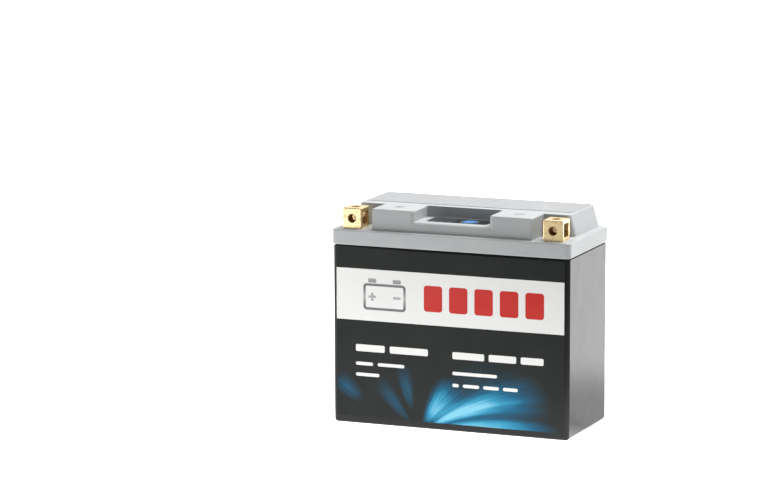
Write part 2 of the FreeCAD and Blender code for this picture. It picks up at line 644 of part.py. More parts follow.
def make_switch_body():
    """Square switch housing on the indicator board."""
    half = SWITCH_SIZE / 2
    top = INDICATOR_BOARD_TOP_Z + SWITCH_HEIGHT
    housing = rounded_block(BUTTON_X - half, BUTTON_X + half, BUTTON_Y - half, BUTTON_Y + half,
                            INDICATOR_BOARD_TOP_Z, top, SWITCH_CORNER_RADIUS)
    cavity = cylinder(BUTTON_X, BUTTON_Y, SWITCH_CAVITY_Z, top + CUT_MARGIN,
                      PLUNGER_RADIUS + BUTTON_CLEARANCE)
    return housing.cut(cavity)


def make_snap_dome():
    """Thin sprung dome between plunger and switch floor."""
    radius = (DOME_RADIUS ** 2 + DOME_RISE ** 2) / (2 * DOME_RISE)
    centre = FreeCAD.Vector(BUTTON_X, BUTTON_Y, SWITCH_CAVITY_Z + DOME_RISE - radius)
    shell = Part.makeSphere(radius, centre).cut(Part.makeSphere(radius - DOME_THICKNESS, centre))
    keep = cylinder(BUTTON_X, BUTTON_Y, SWITCH_CAVITY_Z, SWITCH_CAVITY_Z + DOME_RISE + CUT_MARGIN,
                    DOME_RADIUS)
    return shell.common(keep)


def make_indicator_board():
    """Small circuit board hung under the trough."""
    board = rounded_block(-INDICATOR_BOARD_HALF_LENGTH, INDICATOR_BOARD_HALF_LENGTH,
                          INDICATOR_BOARD_FRONT_Y, INDICATOR_BOARD_REAR_Y,
                          INDICATOR_BOARD_BOTTOM_Z, INDICATOR_BOARD_TOP_Z,
                          INDICATOR_BOARD_CORNER_RADIUS)
    for x, y in indicator_post_places():
        board = board.cut(cylinder(x, y, INDICATOR_BOARD_BOTTOM_Z - CUT_MARGIN,
                                   INDICATOR_BOARD_TOP_Z + CUT_MARGIN,
                                   INDICATOR_SCREW_RADIUS + INDICATOR_HOLE_CLEARANCE))
    return board


def make_indicator_board_screws():
    """Four small slotted screws up into the lid's posts."""
    screws = []
    head_bottom = INDICATOR_BOARD_BOTTOM_Z - INDICATOR_SCREW_HEAD_HEIGHT
    half_length, half_width = (size / 2 for size in INDICATOR_SLOT)
    for x, y in indicator_post_places():
        thread = cylinder(x, y, INDICATOR_BOARD_BOTTOM_Z, INDICATOR_BOARD_TOP_Z + INDICATOR_SCREW_GRIP,
                          INDICATOR_SCREW_RADIUS - SEAL_CLEARANCE)
        head = cylinder(x, y, head_bottom, INDICATOR_BOARD_BOTTOM_Z, INDICATOR_SCREW_HEAD_RADIUS)
        slot = box(x - half_width, x + half_width, y - half_length, y + half_length,
                   head_bottom - CUT_MARGIN, head_bottom + INDICATOR_SLOT_DEPTH)
        screws.append(fuse([thread, head]).cut(slot))
    return Part.makeCompound(screws)


def make_indicator_lamps():
    """Small lamps on the board, one under each light guide."""
    lamps = [rounded_block(x - LAMP_LENGTH / 2, x + LAMP_LENGTH / 2, LAMP_Y - LAMP_WIDTH / 2,
                           LAMP_Y + LAMP_WIDTH / 2, INDICATOR_BOARD_TOP_Z,
                           INDICATOR_BOARD_TOP_Z + LAMP_HEIGHT, LAMP_CORNER_RADIUS) for x in LAMP_XS]
    return Part.makeCompound(lamps)


def make_light_guides():
    """Clear rods that carry the lamps' light up to the film."""
    bottom = INDICATOR_BOARD_TOP_Z + LAMP_HEIGHT + GUIDE_LAMP_GAP
    top = FILM_FLOOR_Z - GUIDE_FILM_GAP
    flange_bottom = SILL_UNDERSIDE_Z - GUIDE_FLANGE_THICKNESS
    points = [(0, bottom), (GUIDE_RADIUS, bottom), (GUIDE_RADIUS, flange_bottom),
              (GUIDE_FLANGE_RADIUS, flange_bottom), (GUIDE_FLANGE_RADIUS, SILL_UNDERSIDE_Z),
              (GUIDE_RADIUS, SILL_UNDERSIDE_Z), (GUIDE_RADIUS, top), (0, top)]
    return Part.makeCompound([turned(points, x, LAMP_Y) for x in LAMP_XS])


# ---------------------------------------------------------------- terminals
def make_terminal(side):
    """Hollow brass block with a front and a top hole, on a neck that passes through the lid."""
    x = side * TERMINAL_X
    half = TERMINAL_SIZE / 2
    top = LEDGE_Z + TERMINAL_HEIGHT
    block = box(x - half, x + half, TERMINAL_Y - half, TERMINAL_Y + half, LEDGE_Z, top)
    block = round_edges(block, TERMINAL_EDGE_RADIUS, lambda edge: edge.BoundBox.ZMax > LEDGE_Z + TOLERANCE)
    neck = cylinder(x, TERMINAL_Y, NECK_BOTTOM_Z, LEDGE_Z + JOIN_OVERLAP, NECK_RADIUS)
    channel = box(x - TERMINAL_SIZE, x + TERMINAL_SIZE, TERMINAL_Y - CHANNEL_SIZE / 2,
                  TERMINAL_Y + CHANNEL_SIZE / 2, CHANNEL_Z - CHANNEL_SIZE / 2, CHANNEL_Z + CHANNEL_SIZE / 2)
    front = Part.makeCylinder(TERMINAL_HOLE_RADIUS, TERMINAL_SIZE + 2 * CUT_MARGIN,
                              FreeCAD.Vector(x, TERMINAL_Y - half - CUT_MARGIN, CHANNEL_Z), BACK)
    upper = cylinder(x, TERMINAL_Y, CHANNEL_Z, top + CUT_MARGIN, TERMINAL_HOLE_RADIUS)
    tapped = cylinder(x, TERMINAL_Y, NECK_BOTTOM_Z - CUT_MARGIN, SCREW_THREAD_TOP_Z + SCREW_END_GAP,
                      SCREW_RADIUS + SCREW_THREAD_CLEARANCE)
    terminal = fuse([block, neck])
    for hole in (channel, front, upper, tapped):
        terminal = terminal.cut(hole)
    return terminal


def make_terminal_nut(side):
    """Square nut behind the terminal's front wall, its thread in line with the front hole."""
    x = side * TERMINAL_X
    half = NUT_SIZE / 2
    front_y = TERMINAL_Y - CHANNEL_SIZE / 2 + NUT_CLEARANCE
    nut = box(x - half, x + half, front_y, front_y + NUT_THICKNESS, CHANNEL_Z - half, CHANNEL_Z + half)
    level_edges = [edge for edge in nut.Edges if edge.BoundBox.YLength > NUT_THICKNESS - TOLERANCE]
    nut = nut.makeChamfer(NUT_EDGE_CHAMFER, level_edges)
    thread = Part.makeCylinder(NUT_THREAD_RADIUS, NUT_THICKNESS + 2 * CUT_MARGIN,
                               FreeCAD.Vector(x, front_y - CUT_MARGIN, CHANNEL_Z), BACK)
    return nut.cut(thread)


def make_terminal_seals():
    """Rubber ring round each terminal's neck."""
    seals = []
    for side in SIDES.values():
        outer = cylinder(side * TERMINAL_X, TERMINAL_Y, SEAL_BOTTOM_Z, LEDGE_Z, SEAL_OUTER_RADIUS)
        inner = cylinder(side * TERMINAL_X, TERMINAL_Y, SEAL_BOTTOM_Z, LEDGE_Z,
                         NECK_RADIUS + SEAL_CLEARANCE)
        seals.append(outer.cut(inner))
    return Part.makeCompound(seals)


def make_terminal_screws():
    """Socket-head screws that clamp the straps to the terminals from below."""
    screws = []
    head_top = NECK_BOTTOM_Z - STRAP_THICKNESS
    head_bottom = head_top - SCREW_HEAD_HEIGHT
    for side in SIDES.values():
        x = side * TERMINAL_X
        thread = cylinder(x, TERMINAL_Y, head_top, SCREW_THREAD_TOP_Z, SCREW_RADIUS)
        head = cylinder(x, TERMINAL_Y, head_bottom, head_top, SCREW_HEAD_RADIUS)
        socket = hexagon_block(x, TERMINAL_Y, head_bottom - CUT_MARGIN, head_bottom + SCREW_SOCKET_DEPTH,
                               SCREW_SOCKET_FLAT_RADIUS)
        screws.append(fuse([thread, head]).cut(socket))
    return Part.makeCompound(screws)


def make_strap(side):
    """Copper strap: foot on the pack's plate, riser, and tab under the terminal."""
    y0 = TERMINAL_Y - STRAP_WIDTH / 2
    y1 = TERMINAL_Y + STRAP_WIDTH / 2
    riser_outer = STRAP_RISER_X + STRAP_THICKNESS
    foot_top = UPPER_PLATE_TOP_Z + STRAP_THICKNESS
    tab_bottom = NECK_BOTTOM_Z - STRAP_THICKNESS
    foot = box(side * STRAP_FOOT_INNER_X, side * riser_outer, y0, y1, UPPER_PLATE_TOP_Z, foot_top)
    riser = box(side * STRAP_RISER_X, side * riser_outer, y0, y1, UPPER_PLATE_TOP_Z, NECK_BOTTOM_Z)
    tab = box(side * STRAP_RISER_X, side * STRAP_TAB_OUTER_X, y0, y1, tab_bottom, NECK_BOTTOM_Z)
    hole = cylinder(side * TERMINAL_X, TERMINAL_Y, tab_bottom - CUT_MARGIN, NECK_BOTTOM_Z + CUT_MARGIN,
                    SCREW_RADIUS + STRAP_HOLE_CLEARANCE)
    return fuse([foot, riser, tab]).cut(hole)


# ---------------------------------------------------------------- cell pack
def positive_end_up(column):
    """Columns alternate, so that neighbouring groups join in series."""
    return column % 2 == 0


def make_cell(column, row):
    """One cylindrical cell with a button end and a crimp groove under it."""
    can_top = CELL_LENGTH - CELL_BUTTON_HEIGHT
    groove_top = can_top - CELL_CRIMP_FROM_TOP
    groove_bottom = groove_top - CELL_CRIMP_WIDTH
    edge = CELL_EDGE_RADIUS
    groove_radius = CELL_RADIUS - CELL_CRIMP_DEPTH
    points = [(0, 0), (CELL_RADIUS - edge, 0), (CELL_RADIUS, edge), (CELL_RADIUS, groove_bottom),
              (groove_radius, groove_bottom + CELL_CRIMP_WIDTH / 2), (CELL_RADIUS, groove_top),
              (CELL_RADIUS, can_top - edge), (CELL_RADIUS - edge, can_top),
              (CELL_BUTTON_RADIUS, can_top), (CELL_BUTTON_RADIUS, CELL_LENGTH), (0, CELL_LENGTH)]
    if positive_end_up(column):
        points = [(radius, CELL_BOTTOM_Z + z) for radius, z in points]
    else:
        points = [(radius, CELL_TOP_Z - z) for radius, z in points]
    return turned(points, COLUMN_XS[column], ROW_YS[row])


def make_cell_rings():
    """Insulating ring round each cell's button."""
    rings = []
    for column, x in enumerate(COLUMN_XS):
        z0 = CELL_TOP_Z - CELL_BUTTON_HEIGHT
        if not positive_end_up(column):
            z0 = CELL_BOTTOM_Z + CELL_BUTTON_HEIGHT - RING_THICKNESS
        for y in ROW_YS:
            disc = cylinder(x, y, z0, z0 + RING_THICKNESS, RING_RADIUS)
            hole = cylinder(x, y, z0, z0 + RING_THICKNESS, CELL_BUTTON_RADIUS + RING_CLEARANCE)
            rings.append(disc.cut(hole))
    return Part.makeCompound(rings)


def make_cell_holder(bottom_z, wall_below):
    """Tray that holds one end of every cell, with a thin end wall below or above its sockets."""
    top_z = bottom_z + HOLDER_DEPTH
    low = bottom_z - CUT_MARGIN
    high = top_z + CUT_MARGIN
    holder = centred_block(HOLDER_HALF_LENGTH, HOLDER_HALF_WIDTH, bottom_z, top_z, HOLDER_CORNER_RADIUS)
    socket_low = bottom_z + HOLDER_END_WALL if wall_below else low
    socket_high = high if wall_below else top_z - HOLDER_END_WALL
    for x in COLUMN_XS:
        for y in ROW_YS:
            holder = holder.cut(cylinder(x, y, socket_low, socket_high, CELL_RADIUS + CELL_CLEARANCE))
            holder = holder.cut(cylinder(x, y, low, high, HOLDER_WINDOW_RADIUS))
    for x in TIE_ROD_XS:
        holder = holder.cut(cylinder(x, 0, low, high, TIE_ROD_RADIUS + TIE_ROD_CLEARANCE))
    return holder


def tie_rod_ends():
    """Lower and upper end heights of the tie rods' heads."""
    return LOWER_HOLDER_BOTTOM_Z + TIE_ROD_RECESS, UPPER_HOLDER_TOP_Z - TIE_ROD_RECESS


def tie_rod_recesses(z0, z1):
    """Round recesses for the tie rods' heads."""
    return [cylinder(x, 0, z0, z1, TIE_ROD_RECESS_RADIUS) for x in TIE_ROD_XS]


def standoff_places():
    """Centres of the four standoffs that carry the protection board."""
    return [(x, y) for x in (-STANDOFF_X, STANDOFF_X) for y in (-STANDOFF_Y, STANDOFF_Y)]


def make_lower_holder():
    """Lower cell holder."""
    low, _ = tie_rod_ends()
    holder = make_cell_holder(LOWER_HOLDER_BOTTOM_Z, True)
    for recess in tie_rod_recesses(LOWER_HOLDER_BOTTOM_Z - CUT_MARGIN, low + TIE_ROD_RECESS_DEPTH):
        holder = holder.cut(recess)
    return holder


def make_upper_holder():
    """Upper cell holder, with standoffs for the protection board."""
    _, high = tie_rod_ends()
    bottom_z = UPPER_HOLDER_TOP_Z - HOLDER_DEPTH
    holder = make_cell_holder(bottom_z, False)
    for recess in tie_rod_recesses(high - TIE_ROD_RECESS_DEPTH, UPPER_HOLDER_TOP_Z + CUT_MARGIN):
        holder = holder.cut(recess)
    standoffs = [cylinder(x, y, bottom_z, PROTECTION_BOARD_BOTTOM_Z, STANDOFF_RADIUS)
                 for x, y in standoff_places()]
    holder = fuse([holder] + standoffs)
    for x, y in standoff_places():
        holder = holder.cut(cylinder(x, y, PROTECTION_BOARD_TOP_Z - BOARD_SCREW_LENGTH - CUT_MARGIN,
                                     PROTECTION_BOARD_BOTTOM_Z + CUT_MARGIN,
                                     BOARD_SCREW_RADIUS + BOARD_SCREW_CLEARANCE))
    return holder


def make_tie_rods():
    """Headed rods that clamp the two holders together."""
    low, high = tie_rod_ends()
    rods = []
    for x in TIE_ROD_XS:
        rod = cylinder(x, 0, low, high, TIE_ROD_RADIUS)
        lower_head = hexagon_block(x, 0, low, low + TIE_ROD_HEAD_HEIGHT, TIE_ROD_HEAD_FLAT_RADIUS)
        upper_head = hexagon_block(x, 0, high - TIE_ROD_HEAD_HEIGHT, high, TIE_ROD_HEAD_FLAT_RADIUS)
        rods.append(fuse([rod, lower_head, upper_head]))
    return Part.makeCompound(rods)


def plate_with_dimples(x0, x1, columns, upper):
    """Flat plate over some columns, with a dimple down to each cell's end."""
    if upper:
        z0, z1 = UPPER_PLATE_BOTTOM_Z, UPPER_PLATE_TOP_Z
    else:
        z0, z1 = LOWER_PLATE_TOP_Z - PLATE_THICKNESS, LOWER_PLATE_TOP_Z
    plate = rounded_block(x0, x1, -PLATE_HALF_WIDTH, PLATE_HALF_WIDTH, z0, z1,
                          PLATE_CORNER_RADIUS)
    dimples = []
    for column in columns:
        gap = 0 if positive_end_up(column) == upper else CELL_CLEARANCE / 2
        dimple_z0, dimple_z1 = (CELL_TOP_Z + gap, z1) if upper else (z0, CELL_BOTTOM_Z - gap)
        dimples += [cylinder(COLUMN_XS[column], y, dimple_z0, dimple_z1, PLATE_DIMPLE_RADIUS) for y in ROW_YS]
    return fuse([plate] + dimples)


def make_end_plate(side):
    """Pack's positive or negative plate, with a tab for the strap."""
    column = 0 if side < 0 else CELL_COLUMNS - 1
    inner_x = side * (CELL_PITCH + PLATE_EDGE_GAP)
    outer_x = side * PLATE_OUTER_X
    plate = plate_with_dimples(*sorted((inner_x, outer_x)), [column], True)
    tab = box(side * (PLATE_OUTER_X - PLATE_TAB_OVERLAP), side * PLATE_TAB_OUTER_X,
              TERMINAL_Y - STRAP_WIDTH / 2, TERMINAL_Y + STRAP_WIDTH / 2,
              UPPER_PLATE_BOTTOM_Z, UPPER_PLATE_TOP_Z)
    return fuse([plate, tab])


def make_series_plate(first_column, upper):
    """Plate that joins two neighbouring columns."""
    x0 = COLUMN_XS[first_column] - CELL_PITCH / 2 + PLATE_EDGE_GAP
    x1 = COLUMN_XS[first_column + 1] + CELL_PITCH / 2 - PLATE_EDGE_GAP
    return plate_with_dimples(x0, x1, [first_column, first_column + 1], upper)


# ---------------------------------------------------------------- protection board
def make_protection_board():
    """Circuit board above the cells."""
    board = centred_block(PROTECTION_BOARD_HALF_LENGTH, PROTECTION_BOARD_HALF_WIDTH,
                          PROTECTION_BOARD_BOTTOM_Z, PROTECTION_BOARD_TOP_Z,
                          PROTECTION_BOARD_CORNER_RADIUS)
    for x, y in standoff_places():
        board = board.cut(cylinder(x, y, PROTECTION_BOARD_BOTTOM_Z - CUT_MARGIN,
                                   PROTECTION_BOARD_TOP_Z + CUT_MARGIN,
                                   BOARD_SCREW_RADIUS + BOARD_HOLE_CLEARANCE))
    return board


def make_protection_board_screws():
    """Cross-slot screws into the standoffs."""
    screws = []
    half_length, half_width = (size / 2 for size in BOARD_SLOT)
    slot_z = PROTECTION_BOARD_TOP_Z + BOARD_SCREW_HEAD_HEIGHT / 2
    slot_top = PROTECTION_BOARD_TOP_Z + BOARD_SCREW_HEAD_HEIGHT + CUT_MARGIN
    for x, y in standoff_places():
        thread = cylinder(x, y, PROTECTION_BOARD_TOP_Z - BOARD_SCREW_LENGTH, PROTECTION_BOARD_TOP_Z,
                          BOARD_SCREW_RADIUS)
        head = cylinder(x, y, PROTECTION_BOARD_TOP_Z, PROTECTION_BOARD_TOP_Z + BOARD_SCREW_HEAD_HEIGHT,
                        BOARD_SCREW_HEAD_RADIUS)
        slots = [box(x - dx, x + dx, y - dy, y + dy, slot_z, slot_top)
                 for dx, dy in ((half_length, half_width), (half_width, half_length))]
        screws.append(fuse([thread, head]).cut(fuse(slots)))
    return Part.makeCompound(screws)


def make_protection_transistors():
    """A row of power transistors."""
    transistors = []
    for index in range(TRANSISTOR_COUNT):
        x = (index - (TRANSISTOR_COUNT - 1) / 2) * TRANSISTOR_PITCH
        transistors.append(box(x - TRANSISTOR_LENGTH / 2, x + TRANSISTOR_LENGTH / 2,
                               TRANSISTOR_Y - TRANSISTOR_WIDTH / 2, TRANSISTOR_Y + TRANSISTOR_WIDTH / 2,
                               PROTECTION_BOARD_TOP_Z, PROTECTION_BOARD_TOP_Z + TRANSISTOR_HEIGHT))
    return Part.makeCompound(transistors)


def make_protection_chips():
    """Controller and balancing chips."""
    chips = []
    for x, y in CHIP_PLACES:
        chips.append(rounded_block(x - CHIP_SIZE / 2, x + CHIP_SIZE / 2, y - CHIP_SIZE / 2,
                                   y + CHIP_SIZE / 2, PROTECTION_BOARD_TOP_Z,
                                   PROTECTION_BOARD_TOP_Z + CHIP_HEIGHT, CHIP_CORNER_RADIUS))
    return Part.makeCompound(chips)


def sense_strip(x, riser_y, foot_bottom_z):
    """C-shaped strip: foot on a plate, riser past the board's edge, tab on the board."""
    x0 = x - SENSE_WIDTH / 2
    x1 = x + SENSE_WIDTH / 2
    outer_y = riser_y + SENSE_THICKNESS
    tab_top = PROTECTION_BOARD_TOP_Z + SENSE_THICKNESS
    foot = box(x0, x1, SENSE_FOOT_Y, outer_y, foot_bottom_z, foot_bottom_z + SENSE_THICKNESS)
    riser = box(x0, x1, riser_y, outer_y, foot_bottom_z, tab_top)
    tab = box(x0, x1, SENSE_TAB_Y, outer_y, PROTECTION_BOARD_TOP_Z, tab_top)
    return fuse([foot, riser, tab])


def make_sense_strips():
    """One strip from each plate to the protection board."""
    lower_foot_z = LOWER_PLATE_TOP_Z - PLATE_THICKNESS - SENSE_THICKNESS
    strips = [sense_strip(x, SENSE_SHORT_Y, UPPER_PLATE_TOP_Z) for x in (COLUMN_XS[0], 0, COLUMN_XS[-1])]
    strips += [sense_strip(side * (COLUMN_XS[-1] - CELL_PITCH / 4), SENSE_LONG_Y, lower_foot_z)
               for side in SIDES.values()]
    return Part.makeCompound(strips)


# ---------------------------------------------------------------- ribbon
def make_indicator_ribbon():
    """Flat lead that runs back from the indicator board and turns down to the protection board."""
    half = RIBBON_THICKNESS / 2
    start_y = INDICATOR_BOARD_REAR_Y - SOCKET_DEPTH / 2
    run_z = INDICATOR_BOARD_BOTTOM_Z - SOCKET_HEIGHT / 2
    end_z = PROTECTION_BOARD_TOP_Z + SOCKET_HEIGHT
    bend_y = RIBBON_DROP_Y - RIBBON_BEND_RADIUS
    bend_z = run_z - RIBBON_BEND_RADIUS
    outer = RIBBON_BEND_RADIUS + half
    inner = RIBBON_BEND_RADIUS - half
    diagonal = math.sqrt(0.5)

    def point(y, z):
        return FreeCAD.Vector(RIBBON_LEFT_X, y, z)

    edges = [
        Part.makeLine(point(start_y, run_z + half), point(bend_y, run_z + half)),
        Part.Arc(point(bend_y, run_z + half), point(bend_y + outer * diagonal, bend_z + outer * diagonal),
                 point(bend_y + outer, bend_z)).toShape(),
        Part.makeLine(point(bend_y + outer, bend_z), point(bend_y + outer, end_z)),
        Part.makeLine(point(bend_y + outer, end_z), point(bend_y + inner, end_z)),
        Part.makeLine(point(bend_y + inner, end_z), point(bend_y + inner, bend_z)),
        Part.Arc(point(bend_y + inner, bend_z), point(bend_y + inner * diagonal, bend_z + inner * diagonal),
                 point(bend_y, run_z - half)).toShape(),
        Part.makeLine(point(bend_y, run_z - half), point(start_y, run_z - half)),
        Part.makeLine(point(start_y, run_z - half), point(start_y, run_z + half)),
    ]
    return Part.Face(Part.Wire(edges)).extrude(FreeCAD.Vector(RIBBON_WIDTH, 0, 0))


def make_ribbon_sockets():
    """Sockets at both ends of the ribbon, slotted where it goes in."""
    x0 = RIBBON_LEFT_X - SOCKET_MARGIN
    x1 = RIBBON_LEFT_X + RIBBON_WIDTH + SOCKET_MARGIN
    upper = box(x0, x1, INDICATOR_BOARD_REAR_Y - SOCKET_DEPTH, INDICATOR_BOARD_REAR_Y,
                INDICATOR_BOARD_BOTTOM_Z - SOCKET_HEIGHT, INDICATOR_BOARD_BOTTOM_Z)
    lower = box(x0, x1, RIBBON_DROP_Y - SOCKET_DEPTH / 2, RIBBON_DROP_Y + SOCKET_DEPTH / 2,
                PROTECTION_BOARD_TOP_Z, PROTECTION_BOARD_TOP_Z + SOCKET_HEIGHT)
    return Part.makeCompound([upper.cut(make_indicator_ribbon()), lower])


# ---------------------------------------------------------------- foam
def make_lower_foam():
    """Block under the cell pack."""
    return centred_block(LOWER_FOAM_HALF_LENGTH, LOWER_FOAM_HALF_WIDTH, CASE_FLOOR,
                         LOWER_PLATE_TOP_Z - PLATE_THICKNESS - SENSE_THICKNESS, FOAM_CORNER_RADIUS)


def make_upper_foam():
    """Pad between the protection board and the lid, with a slot for the ribbon."""
    pad = centred_block(UPPER_FOAM_HALF_LENGTH, UPPER_FOAM_HALF_WIDTH, UPPER_FOAM_BOTTOM_Z,
                        UPPER_FOAM_TOP_Z, FOAM_CORNER_RADIUS)
    slot = box(RIBBON_LEFT_X - RIBBON_SLOT_MARGIN, RIBBON_LEFT_X + RIBBON_WIDTH + RIBBON_SLOT_MARGIN,
               RIBBON_DROP_Y - RIBBON_SLOT_MARGIN, RIBBON_DROP_Y + RIBBON_SLOT_MARGIN,
               UPPER_FOAM_BOTTOM_Z - CUT_MARGIN, UPPER_FOAM_TOP_Z + CUT_MARGIN)
    return pad.cut(slot)


def make_end_foam():
    """A pad between each end of the cell pack and the case."""
    bottom = LOWER_PLATE_TOP_Z - PLATE_THICKNESS - SENSE_THICKNESS + FOAM_GAP
    inner_x = HOLDER_HALF_LENGTH + FOAM_GAP
    pads = []
    for side in SIDES.values():
        x0, x1 = sorted((side * inner_x, side * END_FOAM_OUTER_X))
        pads.append(rounded_block(x0, x1, -END_FOAM_HALF_WIDTH, END_FOAM_HALF_WIDTH, bottom,
                                  END_FOAM_TOP_Z, FOAM_CORNER_RADIUS))
    return Part.makeCompound(pads)


# ---------------------------------------------------------------- assembly
def make_parts():
    """Every piece of the battery, by name."""
    parts = {
        "case": make_case(),
        "lid": make_lid(),
        "lid_seal": make_lid_seal(),
        "front_label": make_front_label(),
        "top_label": make_top_label(),
        "indicator_film": make_indicator_film(),
        "test_button": make_test_button(),
        "switch_plunger": make_switch_plunger(),
        "switch_body": make_switch_body(),
        "snap_dome": make_snap_dome(),
        "indicator_board": make_indicator_board(),
        "indicator_board_screws": make_indicator_board_screws(),
        "indicator_lamps": make_indicator_lamps(),
        "light_guides": make_light_guides(),
        "indicator_ribbon": make_indicator_ribbon(),
        "ribbon_sockets": make_ribbon_sockets(),
        "terminal_seals": make_terminal_seals(),
        "terminal_screws": make_terminal_screws(),
        "cell_rings": make_cell_rings(),
        "cell_holder_lower": make_lower_holder(),
        "cell_holder_upper": make_upper_holder(),
        "holder_tie_rods": make_tie_rods(),
        "pack_plate_positive": make_end_plate(SIDES["positive"]),
        "pack_plate_negative": make_end_plate(SIDES["negative"]),
        "series_plate_left": make_series_plate(0, False),
        "series_plate_right": make_series_plate(2, False),
        "series_plate_top": make_series_plate(1, True),
        "protection_board": make_protection_board(),
        "protection_board_screws": make_protection_board_screws(),
        "protection_transistors": make_protection_transistors(),
        "protection_chips": make_protection_chips(),
        "sense_strips": make_sense_strips(),
        "lower_foam_block": make_lower_foam(),
        "upper_foam_pad": make_upper_foam(),
        "end_foam_pads": make_end_foam(),
    }
    for name, side in SIDES.items():
        parts[name + "_terminal"] = make_terminal(side)
        parts[name + "_terminal_nut"] = make_terminal_nut(side)
        parts[name + "_strap"] = make_strap(side)
    number = 1
    for column in range(CELL_COLUMNS):
        for row in range(CELL_ROWS):
            parts["cell_" + str(number)] = make_cell(column, row)
            number += 1
    return parts


os.makedirs("parts", exist_ok=True)
for node, shape in make_parts().items():
    if not shape.isValid():
        print("not valid:", node)
    shape.exportStep("parts/" + node + ".step")
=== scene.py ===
import math

import bmesh
import bpy
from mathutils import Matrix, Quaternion, Vector


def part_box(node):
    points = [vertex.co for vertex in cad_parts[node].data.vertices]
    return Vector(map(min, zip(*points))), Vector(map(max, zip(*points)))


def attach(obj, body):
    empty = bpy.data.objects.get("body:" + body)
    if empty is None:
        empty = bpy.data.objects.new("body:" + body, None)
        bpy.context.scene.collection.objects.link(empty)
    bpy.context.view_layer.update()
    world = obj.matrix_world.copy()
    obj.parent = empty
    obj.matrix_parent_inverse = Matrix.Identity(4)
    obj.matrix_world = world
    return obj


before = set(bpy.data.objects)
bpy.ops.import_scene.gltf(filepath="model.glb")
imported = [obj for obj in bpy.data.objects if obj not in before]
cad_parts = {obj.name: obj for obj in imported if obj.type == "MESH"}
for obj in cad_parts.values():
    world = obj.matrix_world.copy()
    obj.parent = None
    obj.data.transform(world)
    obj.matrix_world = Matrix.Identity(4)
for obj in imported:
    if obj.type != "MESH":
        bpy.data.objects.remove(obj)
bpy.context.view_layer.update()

# Looks of a lithium motorcycle battery, built round its fixed CAD frame. Lengths are in metres.
MM = 0.001

# Camera: a long lens, in front, to the right and a little above.
CAMERA_PLACE = Vector((0.79038, -2.05647, 0.48765))
CAMERA_TARGET = Vector((-0.05457, 0.0, 0.10584))
CAMERA_ROLL = 0.0031
CAMERA_LENS_MM = 176.02
CAMERA_SENSOR_MM = 36.0
CAMERA_FAR = 50.0

# Studio: a pale floor and one soft light overhead, in a room that is darker on the camera's side.
FLOOR_SIZE = 24.0
FLOOR_DROP = 0.05 * MM
KEY_PLACE = Vector((0.45, 0.55, 1.75))
KEY_SIZE = 1.5
KEY_WATTS = 48.0
ROOM_DEPTH = (-0.5, 0.45)
ROOM_STRENGTH = (0.16, 1.0)

# The floor glows behind a slanting line, where y is more than x times the slope less about 0.13 m.
GLOW_LINE_SLOPE = 1.6
GLOW_LINE_EDGE = (-0.15, -0.11)
GLOW_STRENGTH = 2.5
GLOW_REACH = (0.10, 0.24)
GLOW_NEAR_SHARE = 0.4

# The floor also glows in a painted pool of light close round the object's front: a strong core and a weaker
# fringe.
POOL_ACROSS_SHARE = 0.7
POOL_CORE_REACH = (0.08, 0.22)
POOL_CORE_STRENGTH = 1.8
POOL_FRINGE_REACH = (0.24, 0.44)
POOL_FRINGE_STRENGTH = 0.55
POOL_REAR_EDGE = (-0.03, 0.02)
POOL_REAR_SHARE = 0.3

# Printed art stands this far out of the sheet it is on, and reaches this far into it.
PRINT_RISE = 0.03 * MM
PRINT_SINK = 0.08 * MM
CORNER_STEPS = 8
CIRCLE_STEPS = 48

# Laminate over print has a grain of this size and depth.
PRINT_GRAIN = 0.3 * MM
PRINT_GRAIN_DEPTH = 0.002 * MM

# Most of a noise texture's values lie in this range.
NOISE_RANGE = (0.3, 0.7)


